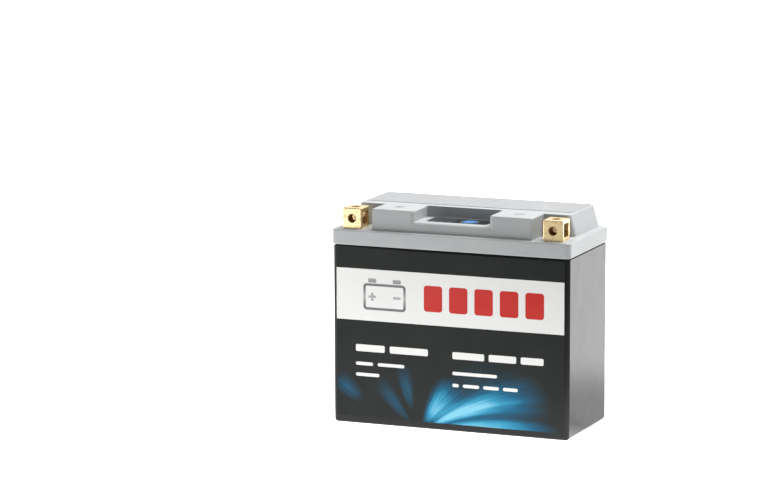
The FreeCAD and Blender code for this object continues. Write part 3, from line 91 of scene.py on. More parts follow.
# ---------------------------------------------------------------- materials: tools
class Finish:
    """One procedural material: a Principled shader and the nodes that feed it."""

    def __init__(self, name, **values):
        self.material = bpy.data.materials.new(name)
        self.material.use_nodes = True
        self.nodes = self.material.node_tree.nodes
        self.links = self.material.node_tree.links
        self.shader = next(node for node in self.nodes if node.type == "BSDF_PRINCIPLED")
        self.place = self.nodes.new("ShaderNodeTexCoord").outputs["Object"]
        for socket, value in values.items():
            self.shader.inputs[socket.replace("_", " ")].default_value = value

    def put(self, target, value):
        """Links a socket, or sets a plain value."""
        if isinstance(value, bpy.types.NodeSocket):
            self.links.new(value, target)
        else:
            target.default_value = value

    def feed(self, socket, value):
        """Feeds one of the shader's own sockets."""
        self.put(self.shader.inputs[socket], value)

    def math(self, operation, first, second=0.0, clamp=False):
        """One step of arithmetic on sockets or numbers."""
        node = self.nodes.new("ShaderNodeMath")
        node.operation = operation
        node.use_clamp = clamp
        self.put(node.inputs[0], first)
        self.put(node.inputs[1], second)
        return node.outputs[0]

    def split(self):
        """The three parts of the place."""
        node = self.nodes.new("ShaderNodeSeparateXYZ")
        self.put(node.inputs[0], self.place)
        return node.outputs[0], node.outputs[1], node.outputs[2]

    def join(self, x, y, z):
        """One place from three parts."""
        node = self.nodes.new("ShaderNodeCombineXYZ")
        for target, value in zip(node.inputs, (x, y, z)):
            self.put(target, value)
        return node.outputs[0]

    def stretched(self, stretch):
        """The place, stretched so that a pattern runs long where stretch is small."""
        node = self.nodes.new("ShaderNodeMapping")
        self.put(node.inputs["Vector"], self.place)
        node.inputs["Scale"].default_value = stretch
        return node.outputs[0]

    def noise(self, size, detail=3.0, place=None, distortion=0.0):
        """Cloudy noise, with features of about that size."""
        node = self.nodes.new("ShaderNodeTexNoise")
        self.put(node.inputs["Vector"], place or self.place)
        node.inputs["Scale"].default_value = 1.0 / size
        node.inputs["Detail"].default_value = detail
        node.inputs["Distortion"].default_value = distortion
        return node.outputs["Fac"]

    def pits(self, size):
        """Distance to the nearest of many scattered points."""
        node = self.nodes.new("ShaderNodeTexVoronoi")
        self.put(node.inputs["Vector"], self.place)
        node.inputs["Scale"].default_value = 1.0 / size
        return node.outputs["Distance"]

    def span(self, value, low, high, to_low=0.0, to_high=1.0, smooth=False):
        """Maps low..high to to_low..to_high, and holds the ends."""
        node = self.nodes.new("ShaderNodeMapRange")
        node.clamp = True
        node.interpolation_type = "SMOOTHSTEP" if smooth else "LINEAR"
        for target, number in zip(node.inputs, (value, low, high, to_low, to_high)):
            self.put(target, number)
        return node.outputs[0]

    def vary(self, noise, to_low=0.0, to_high=1.0):
        """Maps the usual range of a noise to to_low..to_high."""
        return self.span(noise, *NOISE_RANGE, to_low, to_high)

    def length(self, x, y):
        """Distance from the origin on a plane."""
        squares = self.math("ADD", self.math("MULTIPLY", x, x), self.math("MULTIPLY", y, y))
        return self.math("SQRT", squares)

    def mix(self, factor, first, second):
        """From the first colour to the second as factor goes from 0 to 1."""
        node = self.nodes.new("ShaderNodeMix")
        node.data_type = "RGBA"
        self.put(node.inputs["Factor"], factor)
        for target, value in zip([s for s in node.inputs if s.type == "RGBA"], (first, second)):
            self.put(target, value)
        return next(s for s in node.outputs if s.type == "RGBA")

    def bump(self, height, depth, under=None):
        """Relief of that depth, on top of another relief if one is given."""
        node = self.nodes.new("ShaderNodeBump")
        node.inputs["Distance"].default_value = depth
        self.put(node.inputs["Height"], height)
        if under is not None:
            self.put(node.inputs["Normal"], under)
        return node.outputs["Normal"]

    def soft_edges(self, radius):
        """Normals rounded off at sharp edges."""
        node = self.nodes.new("ShaderNodeBevel")
        node.samples = 4
        node.inputs["Radius"].default_value = radius
        return node.outputs["Normal"]


def colour(red, green, blue):
    """An opaque colour."""
    return (red, green, blue, 1.0)


def print_grain(finish, under=None):
    """The faint grain of the laminate over print."""
    return finish.bump(finish.noise(PRINT_GRAIN, 2.0), PRINT_GRAIN_DEPTH, under)


# ---------------------------------------------------------------- materials: the outside
def gloss_black():
    """Polished black moulding with faint waviness, haze and dust."""
    finish = Finish("gloss_black", IOR=1.3)
    haze = finish.noise(14 * MM, 4.0, distortion=0.6)
    dust = finish.span(finish.noise(0.5 * MM, 2.0), 0.70, 0.78)
    black = colour(0.009, 0.0095, 0.010)
    dusty = colour(0.05, 0.05, 0.048)
    finish.feed("Base Color", finish.mix(dust, black, dusty))
    finish.feed("Roughness", finish.span(haze, 0.35, 0.7, 0.10, 0.2))
    wave = finish.bump(finish.noise(22 * MM, 1.0), 0.12 * MM)
    finish.feed("Normal", finish.bump(finish.noise(0.9 * MM, 1.0), 0.0015 * MM, wave))
    return finish.material


def satin_grey():
    """Light grey satin moulding with a fine spark-eroded grain and rubbed patches."""
    finish = Finish("satin_grey", IOR=1.5)
    cloud = finish.noise(18 * MM, 5.0, distortion=0.4)
    speckle = finish.noise(0.35 * MM, 2.0)
    base = finish.mix(finish.vary(cloud), colour(0.425, 0.445, 0.45), colour(0.465, 0.48, 0.48))
    speckles = finish.span(speckle, 0.62, 0.8, 0.0, 0.35)
    finish.feed("Base Color", finish.mix(speckles, base, colour(0.34, 0.35, 0.355)))
    finish.feed("Roughness", finish.span(cloud, 0.3, 0.75, 0.40, 0.56))
    rounded = finish.soft_edges(0.25 * MM)
    grain = finish.bump(finish.noise(0.22 * MM, 2.0), 0.006 * MM, rounded)
    finish.feed("Normal", grain)
    return finish.material


def sealant():
    """Cured black sealant, slightly wrinkled."""
    finish = Finish("sealant", IOR=1.48)
    ripple = finish.noise(2.4 * MM, 4.0)
    black = colour(0.002, 0.002, 0.002)
    dull = colour(0.007, 0.007, 0.0065)
    finish.feed("Base Color", finish.mix(ripple, black, dull))
    finish.feed("Roughness", finish.vary(ripple, 0.6, 0.85))
    finish.feed("Normal", finish.bump(ripple, 0.15 * MM))
    return finish.material


# Light rays printed on the front label. Each one has its angle and half width in degrees, then where it
# starts, peaks and ends along its length in millimetres, then its strength.
RAY_ORIGIN = (-19 * MM, -2 * MM)
RAYS = [
    (56.0, 25.0, 3, 17, 42, 0.86),
    (29.5, 13.0, 1, 22, 92, 1.05),
    (11.0, 9.0, 2, 26, 98, 0.95),
    (28.0, 42.0, 2, 28, 92, 0.20),
    (107.0, 12.0, 10, 26, 46, 0.22),
    (134.0, 15.0, 3, 20, 46, 0.16),
    (152.0, 9.0, 36, 52, 64, 0.22),
]
# The rays curve by this many radians in each metre.
RAY_BEND = 2.9
# Fine streaks run along the rays and broad wisps cross them: how many in a radian, how many in a metre of
# reach, and the shades that they give.
STREAKS = (15.0, 8.0)
STREAK_SHADES = (0.6, 1.2)
WISPS = (3.0, 24.0)
WISP_LAYER = 4.0
WISP_SHADES = (0.7, 1.15)


def light_ray(finish, angle, reach, degrees, half_width, start, peak, end, strength):
    """One soft ray that widens from the origin, swells to its peak and dies away."""
    middle = math.radians(degrees) + RAY_BEND * peak * MM
    off = finish.math("ABSOLUTE", finish.math("SUBTRACT", angle, middle))
    body = finish.span(off, math.radians(half_width), 0.0, 0.0, strength, True)
    rise = finish.span(reach, start * MM, peak * MM, smooth=True)
    fall = finish.span(reach, peak * MM, end * MM, 1.0, 0.0, True)
    return finish.math("MULTIPLY", finish.math("MULTIPLY", body, rise), fall)


def light_rays(finish):
    """A fan of soft blue light rays, 0 where there is none and 1 where it is brightest."""
    x, _, z = finish.split()
    across = finish.math("SUBTRACT", x, RAY_ORIGIN[0])
    up = finish.math("SUBTRACT", z, RAY_ORIGIN[1])
    reach = finish.length(across, up)
    angle = finish.math("ADD", finish.math("ARCTAN2", up, across),
                        finish.math("MULTIPLY", reach, RAY_BEND))
    streak_place = finish.join(finish.math("MULTIPLY", angle, STREAKS[0]),
                               finish.math("MULTIPLY", reach, STREAKS[1]), 0.0)
    wisp_place = finish.join(finish.math("MULTIPLY", angle, WISPS[0]),
                             finish.math("MULTIPLY", reach, WISPS[1]), WISP_LAYER)
    streaks = finish.noise(1.0, 3.0, streak_place)
    wisps = finish.noise(1.0, 2.0, wisp_place)
    first, *others = [light_ray(finish, angle, reach, *ray) for ray in RAYS]
    total = first
    for ray in others:
        total = finish.math("ADD", total, ray)
    brushed = finish.math("MULTIPLY", total, finish.span(streaks, 0.3, 0.66, *STREAK_SHADES))
    return finish.math("MULTIPLY", brushed, finish.span(wisps, 0.25, 0.6, *WISP_SHADES), True)


def front_print():
    """Laminated label: charcoal ground with a fan of blue light rays at its foot."""
    finish = Finish("front_print", IOR=1.2)
    rays = light_rays(finish)
    cloud = finish.noise(30 * MM, 2.0)
    ground = finish.mix(cloud, colour(0.015, 0.018, 0.0165), colour(0.026, 0.029, 0.026))
    deep = finish.mix(finish.span(rays, 0.02, 0.34), ground, colour(0.012, 0.125, 0.235))
    middle = finish.mix(finish.span(rays, 0.30, 0.66), deep, colour(0.045, 0.32, 0.50))
    finish.feed("Base Color", finish.mix(finish.span(rays, 0.62, 1.0), middle, colour(0.22, 0.56, 0.72)))
    finish.feed("Roughness", finish.vary(finish.noise(9 * MM, 4.0, distortion=0.5), 0.30, 0.46))
    ripple = finish.bump(finish.noise(12 * MM, 2.0), 0.02 * MM)
    finish.feed("Normal", print_grain(finish, ripple))
    return finish.material


def ink(name, dark, light, roughness=(0.28, 0.42)):
    """One colour of printing ink under laminate, faintly uneven."""
    finish = Finish(name, IOR=1.4)
    cloud = finish.noise(11 * MM, 4.0)
    screen = finish.noise(0.16 * MM, 1.0)
    finish.feed("Base Color", finish.mix(finish.math("MULTIPLY", cloud, screen), dark, light))
    finish.feed("Roughness", finish.vary(cloud, *roughness))
    finish.feed("Normal", print_grain(finish))
    return finish.material


def metal_ink():
    """Grey ink that shades from dark to light, like drawn metal."""
    finish = Finish("metal_ink", IOR=1.4)
    _, _, z = finish.split()
    band = 6 * MM
    wander = finish.math("MULTIPLY", finish.noise(8 * MM), MM)
    sheen = finish.math("PINGPONG", finish.math("ADD", z, wander), band)
    dark = colour(0.11, 0.11, 0.115)
    light = colour(0.42, 0.42, 0.425)
    finish.feed("Base Color", finish.mix(finish.span(sheen, 0.0, band), dark, light))
    finish.feed("Roughness", finish.vary(finish.noise(0.4 * MM), 0.3, 0.4))
    return finish.material


def top_print():
    """Greyer printed strip with rows of faint marks, worn in places."""
    finish = Finish("top_print", IOR=1.42)
    x, y, _ = finish.split()
    half_pitch = 2.1 * MM
    row = finish.math("PINGPONG", y, half_pitch)
    in_row = finish.span(row, 1.15 * MM, 1.5 * MM)
    row_number = finish.math("FLOOR", finish.math("DIVIDE", y, 2 * half_pitch))
    group_place = finish.join(finish.math("MULTIPLY", x, 420.0), row_number, 0.0)
    groups = finish.span(finish.noise(1.0, 2.0, group_place), 0.42, 0.5)
    speck_place = finish.join(finish.math("MULTIPLY", x, 2400.0), finish.math("MULTIPLY", y, 1500.0), 2.0)
    specks = finish.span(finish.noise(1.0, 1.0, speck_place), 0.38, 0.52)
    marks = finish.math("MULTIPLY", finish.math("MULTIPLY", in_row, groups), specks)
    faint_marks = finish.math("MULTIPLY", marks, 0.45)
    cloud = finish.noise(16 * MM, 5.0, distortion=0.8)
    ground = finish.mix(finish.vary(cloud), colour(0.335, 0.345, 0.355), colour(0.405, 0.41, 0.415))
    finish.feed("Base Color", finish.mix(faint_marks, ground, colour(0.18, 0.18, 0.19)))
    finish.feed("Roughness", finish.vary(cloud, 0.34, 0.52))
    finish.feed("Normal", print_grain(finish))
    return finish.material


def gloss_film():
    """Glossy dark membrane over the indicator, with hairline scratches."""
    finish = Finish("gloss_film", IOR=1.5, Coat_Weight=0.4, Coat_Roughness=0.06)
    scratch = finish.noise(0.25 * MM, 2.0, finish.stretched((1.0, 0.05, 1.0)))
    cloud = finish.noise(6 * MM, 3.0)
    finish.feed("Base Color", finish.mix(cloud, colour(0.006, 0.007, 0.008), colour(0.014, 0.015, 0.017)))
    finish.feed("Roughness", finish.span(scratch, 0.4, 0.75, 0.10, 0.30))
    finish.feed("Normal", finish.bump(cloud, 0.03 * MM))
    return finish.material


def button_blue():
    """Pressed blue rubberised button, paler in patches towards its top."""
    finish = Finish("button_blue", IOR=1.5)
    _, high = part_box("test_button")
    _, _, z = finish.split()
    crown = finish.span(z, high.z - 0.35 * MM, high.z)
    # Paler in patches within 0.35 mm of the top, set by height alone.
    paler_top_patches = finish.math("MULTIPLY", crown, finish.span(finish.noise(1.6 * MM, 4.0), 0.35, 0.65, 0.2, 0.6))
    finish.feed("Base Color", finish.mix(paler_top_patches, colour(0.03, 0.19, 0.50), colour(0.14, 0.36, 0.66)))
    finish.feed("Roughness", finish.vary(finish.noise(0.8 * MM, 3.0), 0.24, 0.40))
    finish.feed("Normal", finish.bump(finish.noise(0.15 * MM, 2.0), 0.004 * MM))
    return finish.material


def machined_brass(name, dark, light, tarnish):
    """Milled brass with tool lines, tarnish and finger marks."""
    finish = Finish(name, Metallic=1.0)
    lines = finish.noise(0.30 * MM, 2.0, finish.stretched((0.04, 0.04, 1.0)))
    stain = finish.noise(3.2 * MM, 5.0, distortion=0.9)
    bright = finish.mix(finish.vary(lines), dark, light)
    finish.feed("Base Color", finish.mix(finish.span(stain, 0.48, 0.72, 0.0, 0.75), bright, tarnish))
    finish.feed("Roughness", finish.span(stain, 0.3, 0.75, 0.24, 0.48))
    rounded = finish.soft_edges(0.2 * MM)
    finish.feed("Normal", finish.bump(lines, 0.012 * MM, rounded))
    return finish.material


# ---------------------------------------------------------------- materials: the inside
def metal(name, dark, light):
    """Bare metal with a stretched grain and cloudy dulling."""
    finish = Finish(name, Metallic=1.0)
    brushed = finish.noise(0.5 * MM, 3.0, finish.stretched((0.15, 1.0, 0.4)))
    cloud = finish.noise(5 * MM, 4.0, distortion=0.5)
    finish.feed("Base Color", finish.mix(cloud, dark, light))
    finish.feed("Roughness", finish.vary(cloud, 0.22, 0.42))
    finish.feed("Normal", finish.bump(brushed, 0.004 * MM, finish.soft_edges(0.1 * MM)))
    return finish.material


def plastic(name, dark, light, grain=0.3 * MM, depth=0.006 * MM, roughness=(0.4, 0.6)):
    """Moulded plastic with a fine grain and slight shade changes."""
    finish = Finish(name, IOR=1.5)
    cloud = finish.noise(7 * MM, 4.0)
    finish.feed("Base Color", finish.mix(cloud, dark, light))
    finish.feed("Roughness", finish.vary(cloud, *roughness))
    finish.feed("Normal", finish.bump(finish.noise(grain, 2.0), depth, finish.soft_edges(0.15 * MM)))
    return finish.material


def circuit_board():
    """Green board with routed tracks and glass weave that show through the mask."""
    finish = Finish("circuit_board", IOR=1.5, Coat_Weight=0.3)
    x, y, _ = finish.split()
    wander = finish.math("MULTIPLY", finish.noise(6 * MM, 1.0), 5 * MM)
    lanes = finish.math("PINGPONG", finish.math("ADD", y, wander), 0.8 * MM)
    thread = 0.35 * MM
    weave = finish.math("MULTIPLY", finish.math("PINGPONG", x, thread), finish.math("PINGPONG", y, thread))
    track = finish.span(lanes, 0.42 * MM, 0.5 * MM)
    crossing = finish.span(weave, 0.0, 1e-7)
    mask = finish.mix(crossing, colour(0.012, 0.085, 0.035), colour(0.02, 0.13, 0.05))
    finish.feed("Base Color", finish.mix(track, mask, colour(0.05, 0.24, 0.09)))
    finish.feed("Roughness", finish.vary(finish.noise(2 * MM), 0.25, 0.4))
    finish.feed("Normal", finish.bump(track, 0.03 * MM))
    return finish.material


def foam():
    """Open-cell grey foam."""
    finish = Finish("foam", IOR=1.4)
    holes = finish.pits(0.9 * MM)
    depths = finish.span(holes, 0.1, 0.6)
    finish.feed("Base Color", finish.mix(depths, colour(0.03, 0.03, 0.033), colour(0.12, 0.12, 0.125)))
    finish.feed("Roughness", finish.vary(finish.noise(0.5 * MM), 0.85, 1.0))
    finish.feed("Normal", finish.bump(holes, 0.35 * MM))
    return finish.material


def clear_plastic():
    """Clear acrylic light guide with slight haze."""
    finish = Finish("clear_plastic", IOR=1.49, Transmission_Weight=1.0)
    haze = finish.noise(1.2 * MM, 3.0)
    finish.feed("Base Color", finish.mix(haze, colour(0.92, 0.95, 0.96), colour(1.0, 1.0, 1.0)))
    finish.feed("Roughness", finish.vary(haze, 0.05, 0.25))
    return finish.material


def cell_wrap():
    """Shrink-wrapped cell: teal film that bares the steel at both ends."""
    finish = Finish("cell_wrap", IOR=1.5)
    low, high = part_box("cell_1")
    _, _, z = finish.split()
    edge = finish.math("MULTIPLY", finish.noise(1.5 * MM, 2.0), 0.5 * MM)
    height = finish.math("ADD", z, edge)
    bare = finish.math("ADD", finish.span(height, high.z - 1.3 * MM, high.z - 1.2 * MM),
                       finish.span(height, low.z + 0.9 * MM, low.z + 0.8 * MM), True)
    cloud = finish.noise(6 * MM, 3.0)
    film = finish.mix(cloud, colour(0.012, 0.16, 0.20), colour(0.02, 0.22, 0.26))
    finish.feed("Base Color", finish.mix(bare, film, colour(0.62, 0.61, 0.59)))
    finish.feed("Metallic", bare)
    finish.feed("Roughness", finish.vary(cloud, 0.22, 0.38))
    finish.feed("Normal", finish.bump(finish.noise(3 * MM, 2.0), 0.04 * MM))
    return finish.material


def ribbon():
    """White flat lead with fine parallel conductors."""
    finish = Finish("ribbon", IOR=1.5)
    x, _, _ = finish.split()
    wires = finish.math("PINGPONG", x, 0.5 * MM)
    over_wire = finish.span(wires, 0.15 * MM, 0.3 * MM)
    finish.feed("Base Color", finish.mix(over_wire, colour(0.72, 0.72, 0.70), colour(0.46, 0.47, 0.47)))
    finish.feed("Roughness", finish.vary(finish.noise(MM), 0.4, 0.55))
    finish.feed("Normal", finish.bump(wires, 0.1 * MM))
    return finish.material


def lamp():
    """Frosted lamp body."""
    finish = Finish("lamp", IOR=1.5, Subsurface_Weight=0.3)
    haze = finish.noise(0.6 * MM, 2.0)
    finish.feed("Base Color", finish.mix(haze, colour(0.80, 0.80, 0.74), colour(0.90, 0.90, 0.86)))
    finish.feed("Roughness", finish.vary(haze, 0.3, 0.5))
    return finish.material


def make_materials():
    """One material for each of the record's slots."""
    return {
        "case_black": gloss_black(),
        "lid_grey": satin_grey(),
        "sealant": sealant(),
        "front_print": front_print(),
        "top_print": top_print(),
        "film_black": gloss_film(),
        "button_blue": button_blue(),
        "switch_black": plastic("switch_black", colour(0.012, 0.012, 0.013), colour(0.03, 0.03, 0.03)),
        "steel": metal("steel", colour(0.42, 0.41, 0.40), colour(0.62, 0.61, 0.59)),
        "circuit_board": circuit_board(),
        "lamp_white": lamp(),
        "clear_plastic": clear_plastic(),
        "ribbon_white": ribbon(),
        "socket_cream": plastic("socket_cream", colour(0.60, 0.56, 0.44), colour(0.70, 0.66, 0.54)),
        "paper_white": plastic("paper_white", colour(0.62, 0.60, 0.55), colour(0.74, 0.72, 0.68),
                               0.5 * MM, 0.02 * MM, (0.7, 0.9)),
        "holder_black": plastic("holder_black", colour(0.014, 0.014, 0.015), colour(0.03, 0.03, 0.032)),
        "nickel": metal("nickel", colour(0.50, 0.48, 0.44), colour(0.68, 0.65, 0.60)),
        "chip_black": plastic("chip_black", colour(0.015, 0.015, 0.016), colour(0.035, 0.035, 0.036),
                              0.15 * MM, 0.01 * MM, (0.5, 0.7)),
        "foam_grey": foam(),
        "brass": machined_brass("machined_brass", colour(0.95, 0.72, 0.38), colour(1.0, 0.83, 0.50),
                                colour(0.62, 0.42, 0.20)),
        # Very dark brass for the nuts deep inside the terminals: painted shade for the dark hole interior,
        # not the metal's own colour.
        "dark_brass": machined_brass("brass_with_painted_shade", colour(0.16, 0.08, 0.03), colour(0.26, 0.14, 0.06),
                                     colour(0.08, 0.05, 0.03)),
        "copper": metal("copper", colour(0.62, 0.27, 0.15), colour(0.86, 0.45, 0.28)),
        "cell_wrap": cell_wrap(),
    }


# ---------------------------------------------------------------- pieces: tools
def add_mesh(name, vertices, faces, material, body, smooth=False):
    """A closed piece of the object, in the row frame, that rides on a body."""
    mesh = bpy.data.meshes.new(name)
    mesh.from_pydata(vertices, [], faces)
    tidy = bmesh.new()
    tidy.from_mesh(mesh)
    bmesh.ops.recalc_face_normals(tidy, faces=tidy.faces)
    tidy.to_mesh(mesh)
    tidy.free()
    for polygon in mesh.polygons:
        polygon.use_smooth = smooth
    piece = bpy.data.objects.new(name, mesh)
    bpy.context.scene.collection.objects.link(piece)
    mesh.materials.append(material)
    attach(piece, body)
    return piece


class Sheet:
    """A flat printed face: where its origin is, and which way its across, up and out run."""

    def __init__(self, origin, across, up):
        self.origin = Vector(origin)
        self.across = Vector(across).normalized()
        self.up = Vector(up).normalized()
        self.out = self.across.cross(self.up)

    def point(self, x, y, rise):
        return self.origin + self.across * x + self.up * y + self.out * rise


# Places whose heights agree to this many decimals of a metre are on one level.
LEVEL_DIGITS = 5


def upright_sheet(node):
    """The front of a leaning label; its origin is on the floor's level below its middle."""
    places = [vertex.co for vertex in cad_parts[node].data.vertices]
    bottom = min(places, key=lambda place: (round(place.z, LEVEL_DIGITS), place.y))
    top = max(places, key=lambda place: (round(place.z, LEVEL_DIGITS), -place.y))
    up = Vector((0.0, top.y - bottom.y, top.z - bottom.z)).normalized()
    floor_y = bottom.y - up.y / up.z * bottom.z
    return Sheet((0.0, floor_y, 0.0), (1.0, 0.0, 0.0), up)


def level_sheet(node):
    """The top of a level sheet, with X across and Y up."""
    _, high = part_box(node)
    return Sheet((0.0, 0.0, high.z), (1.0, 0.0, 0.0), (0.0, 1.0, 0.0))


def rounded(x0, x1, y0, y1, radius):
    """Points round a rectangle with round corners."""
    centres = [(x1 - radius, y1 - radius, 0), (x0 + radius, y1 - radius, 90),
               (x0 + radius, y0 + radius, 180), (x1 - radius, y0 + radius, 270)]
    points = []
    for cx, cy, start in centres:
        for step in range(CORNER_STEPS + 1):
            angle = math.radians(start + 90 * step / CORNER_STEPS)
            points.append((cx + radius * math.cos(angle), cy + radius * math.sin(angle)))
    return points


def circle(x, y, radius):
    """Points round a circle."""
    points = []
    for step in range(CIRCLE_STEPS):
        angle = 2 * math.pi * step / CIRCLE_STEPS
        points.append((x + radius * math.cos(angle), y + radius * math.sin(angle)))
    return points


def printed(name, sheet, outline, material, rise=PRINT_RISE):
    """A thin printed shape on a sheet."""
    count = len(outline)
    vertices = [sheet.point(x, y, rise) for x, y in outline]
    vertices += [sheet.point(x, y, -PRINT_SINK) for x, y in outline]
    faces = [list(range(count)), list(range(2 * count - 1, count - 1, -1))]
    faces += [[i, (i + 1) % count, count + (i + 1) % count, count + i] for i in range(count)]
    return add_mesh(name, vertices, faces, material, "battery")


def printed_ring(name, sheet, outer, inner, material, rise=PRINT_RISE):
    """A thin printed outline between two loops with the same number of points."""
    count = len(outer)
    loops = [(outer, rise), (inner, rise), (inner, -PRINT_SINK), (outer, -PRINT_SINK)]
    vertices = [sheet.point(x, y, height) for loop, height in loops for x, y in loop]
    faces = []
    for level in range(len(loops)):
        following = (level + 1) % len(loops)
        for i in range(count):
            j = (i + 1) % count
            faces.append([level * count + i, level * count + j, following * count + j, following * count + i])
    return add_mesh(name, vertices, faces, material, "battery")


# ---------------------------------------------------------------- pieces: front label
BAND = (63.0 * MM, 94.0 * MM)
BAND_INSET = 0.15 * MM
SYMBOL_CENTRE = (-41.0 * MM, 77.6 * MM)
SYMBOL_SIZE = (27.0 * MM, 16.0 * MM)
SYMBOL_LINE = 1.5 * MM
SYMBOL_CORNER = 2.2 * MM
SYMBOL_INNER_CORNER = 0.8 * MM
# Studs and signs stand at this share of the symbol's half width.
SIGN_SHARE = 0.58
STUD_HALF_WIDTH = 2.6 * MM
STUD_SPAN = (0.5 * MM, 3.0 * MM)
STUD_CORNER = 0.7 * MM
SIGN_HALF_LENGTH = 2.4 * MM
SIGN_HALF_LINE = 0.7 * MM
SIGN_CORNER = 0.3 * MM
SIGN_EXTRA_RISE = 0.2 * PRINT_RISE
GAUGE_LEFT = -16.0 * MM
GAUGE_BARS = 5
GAUGE_BAR = (11.6 * MM, 15.6 * MM)
GAUGE_PITCH = 15.9 * MM
GAUGE_BOTTOM = 71.0 * MM
GAUGE_CORNER = 1.8 * MM
# Plain bars that stand for lines of text: left, right, bottom, top in millimetres.
TEXT_BARS = [
    (-59.5, -41.0, 44.2, 48.4), (-37.8, -13.5, 44.2, 48.4),
    (-59.5, -48.5, 35.8, 37.8), (-45.5, -28.5, 35.8, 37.8),
    (-59.5, -44.5, 29.2, 31.2),
    (2.0, 22.0, 43.8, 48.0), (24.8, 42.0, 43.8, 48.0), (44.8, 59.0, 43.8, 48.0),
    (2.0, 30.0, 34.2, 36.2),
    (2.0, 6.0, 27.0, 29.0), (8.6, 18.8, 27.0, 29.0), (21.4, 31.2, 27.0, 29.0), (33.8, 43.0, 27.0, 29.0),
]
TEXT_CORNER = 0.9 * MM


def add_battery_symbol(sheet, material):
    """A plain outline of a battery with two studs, a plus and a minus."""
    x, y = SYMBOL_CENTRE
    half_x, half_y = SYMBOL_SIZE[0] / 2, SYMBOL_SIZE[1] / 2
    line = SYMBOL_LINE
    outer = rounded(x - half_x, x + half_x, y - half_y, y + half_y, SYMBOL_CORNER)
    inner = rounded(x - half_x + line, x + half_x - line, y - half_y + line, y + half_y - line,
                    SYMBOL_INNER_CORNER)
    rise = 2 * PRINT_RISE
    printed_ring("label_symbol_outline", sheet, outer, inner, material, rise)
    for name, side in (("left", -1), ("right", 1)):
        sign_x = x + side * half_x * SIGN_SHARE
        stud = rounded(sign_x - STUD_HALF_WIDTH, sign_x + STUD_HALF_WIDTH, y + half_y + STUD_SPAN[0],
                       y + half_y + STUD_SPAN[1], STUD_CORNER)
        printed("label_symbol_stud_" + name, sheet, stud, material, rise)
        bar = rounded(sign_x - SIGN_HALF_LENGTH, sign_x + SIGN_HALF_LENGTH, y - SIGN_HALF_LINE,
                      y + SIGN_HALF_LINE, SIGN_CORNER)
        printed("label_symbol_bar_" + name, sheet, bar, material, rise)
    plus_x = x - half_x * SIGN_SHARE
    upright = rounded(plus_x - SIGN_HALF_LINE, plus_x + SIGN_HALF_LINE, y - SIGN_HALF_LENGTH,
                      y + SIGN_HALF_LENGTH, SIGN_CORNER)
    printed("label_symbol_upright", sheet, upright, material, rise + SIGN_EXTRA_RISE)


def add_front_art(white, red, grey):
    """White band, battery symbol, red gauge and plain bars in place of text."""
    sheet = upright_sheet("front_label")
    low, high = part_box("front_label")
    band = [(low.x + BAND_INSET, BAND[0]), (high.x - BAND_INSET, BAND[0]),
            (high.x - BAND_INSET, BAND[1]), (low.x + BAND_INSET, BAND[1])]
    printed("label_band", sheet, band, white)
    add_battery_symbol(sheet, grey)
    for index in range(GAUGE_BARS):
        left = GAUGE_LEFT + index * GAUGE_PITCH
        bar = rounded(left, left + GAUGE_BAR[0], GAUGE_BOTTOM, GAUGE_BOTTOM + GAUGE_BAR[1], GAUGE_CORNER)
        printed("label_gauge_" + str(index + 1), sheet, bar, red, 2 * PRINT_RISE)
    for index, (left, right, bottom, top) in enumerate(TEXT_BARS):
        bar = rounded(left * MM, right * MM, bottom * MM, top * MM, TEXT_CORNER)
        printed("label_line_" + str(index + 1), sheet, bar, white)


# ---------------------------------------------------------------- pieces: indicator film
WINDOW_RADIUS = 1.5 * MM
WINDOW_LINE = 0.35 * MM
WINDOWS = 3
LEGEND_DROP = 4.2 * MM
LEGEND_HALF_WIDTH = 1.4 * MM
LEGEND_HEIGHT = 0.8 * MM
LEGEND_CORNER = 0.2 * MM
BUTTON_RING_GAP = 0.5 * MM
BUTTON_RING_LINE = 0.6 * MM
HEADING_RISE = 4.6 * MM
HEADING_MARGIN = 2.0 * MM
HEADING_BUTTON_GAP = 2.4 * MM
BORDER_INSET = 0.7 * MM
BORDER_LINE = 0.25 * MM
BORDER_CORNERS = (1.8 * MM, 1.6 * MM)


def add_windows(sheet, white, glow):
    """A rimmed window and a legend bar over each light guide; gives back the windows' Y."""
    low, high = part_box("light_guides")
    y = (low.y + high.y) / 2
    pitch = (high.x - low.x) / 2 - (high.y - low.y) / 2
    middle = (low.x + high.x) / 2
    for index in range(WINDOWS):
        x = middle + (index - 1) * pitch
        number = str(index + 1)
        printed("film_window_" + number, sheet, circle(x, y, WINDOW_RADIUS), glow)
        printed_ring("film_window_rim_" + number, sheet, circle(x, y, WINDOW_RADIUS + WINDOW_LINE),
                     circle(x, y, WINDOW_RADIUS), white)
        legend = rounded(x - LEGEND_HALF_WIDTH, x + LEGEND_HALF_WIDTH, y - LEGEND_DROP,
                         y - LEGEND_DROP + LEGEND_HEIGHT, LEGEND_CORNER)
        printed("film_legend_" + number, sheet, legend, white)
    return y


def inset(low, high, margin, corner):
    """Points round a box's outline, drawn in by a margin."""
    return rounded(low.x + margin, high.x - margin, low.y + margin, high.y - margin, corner)


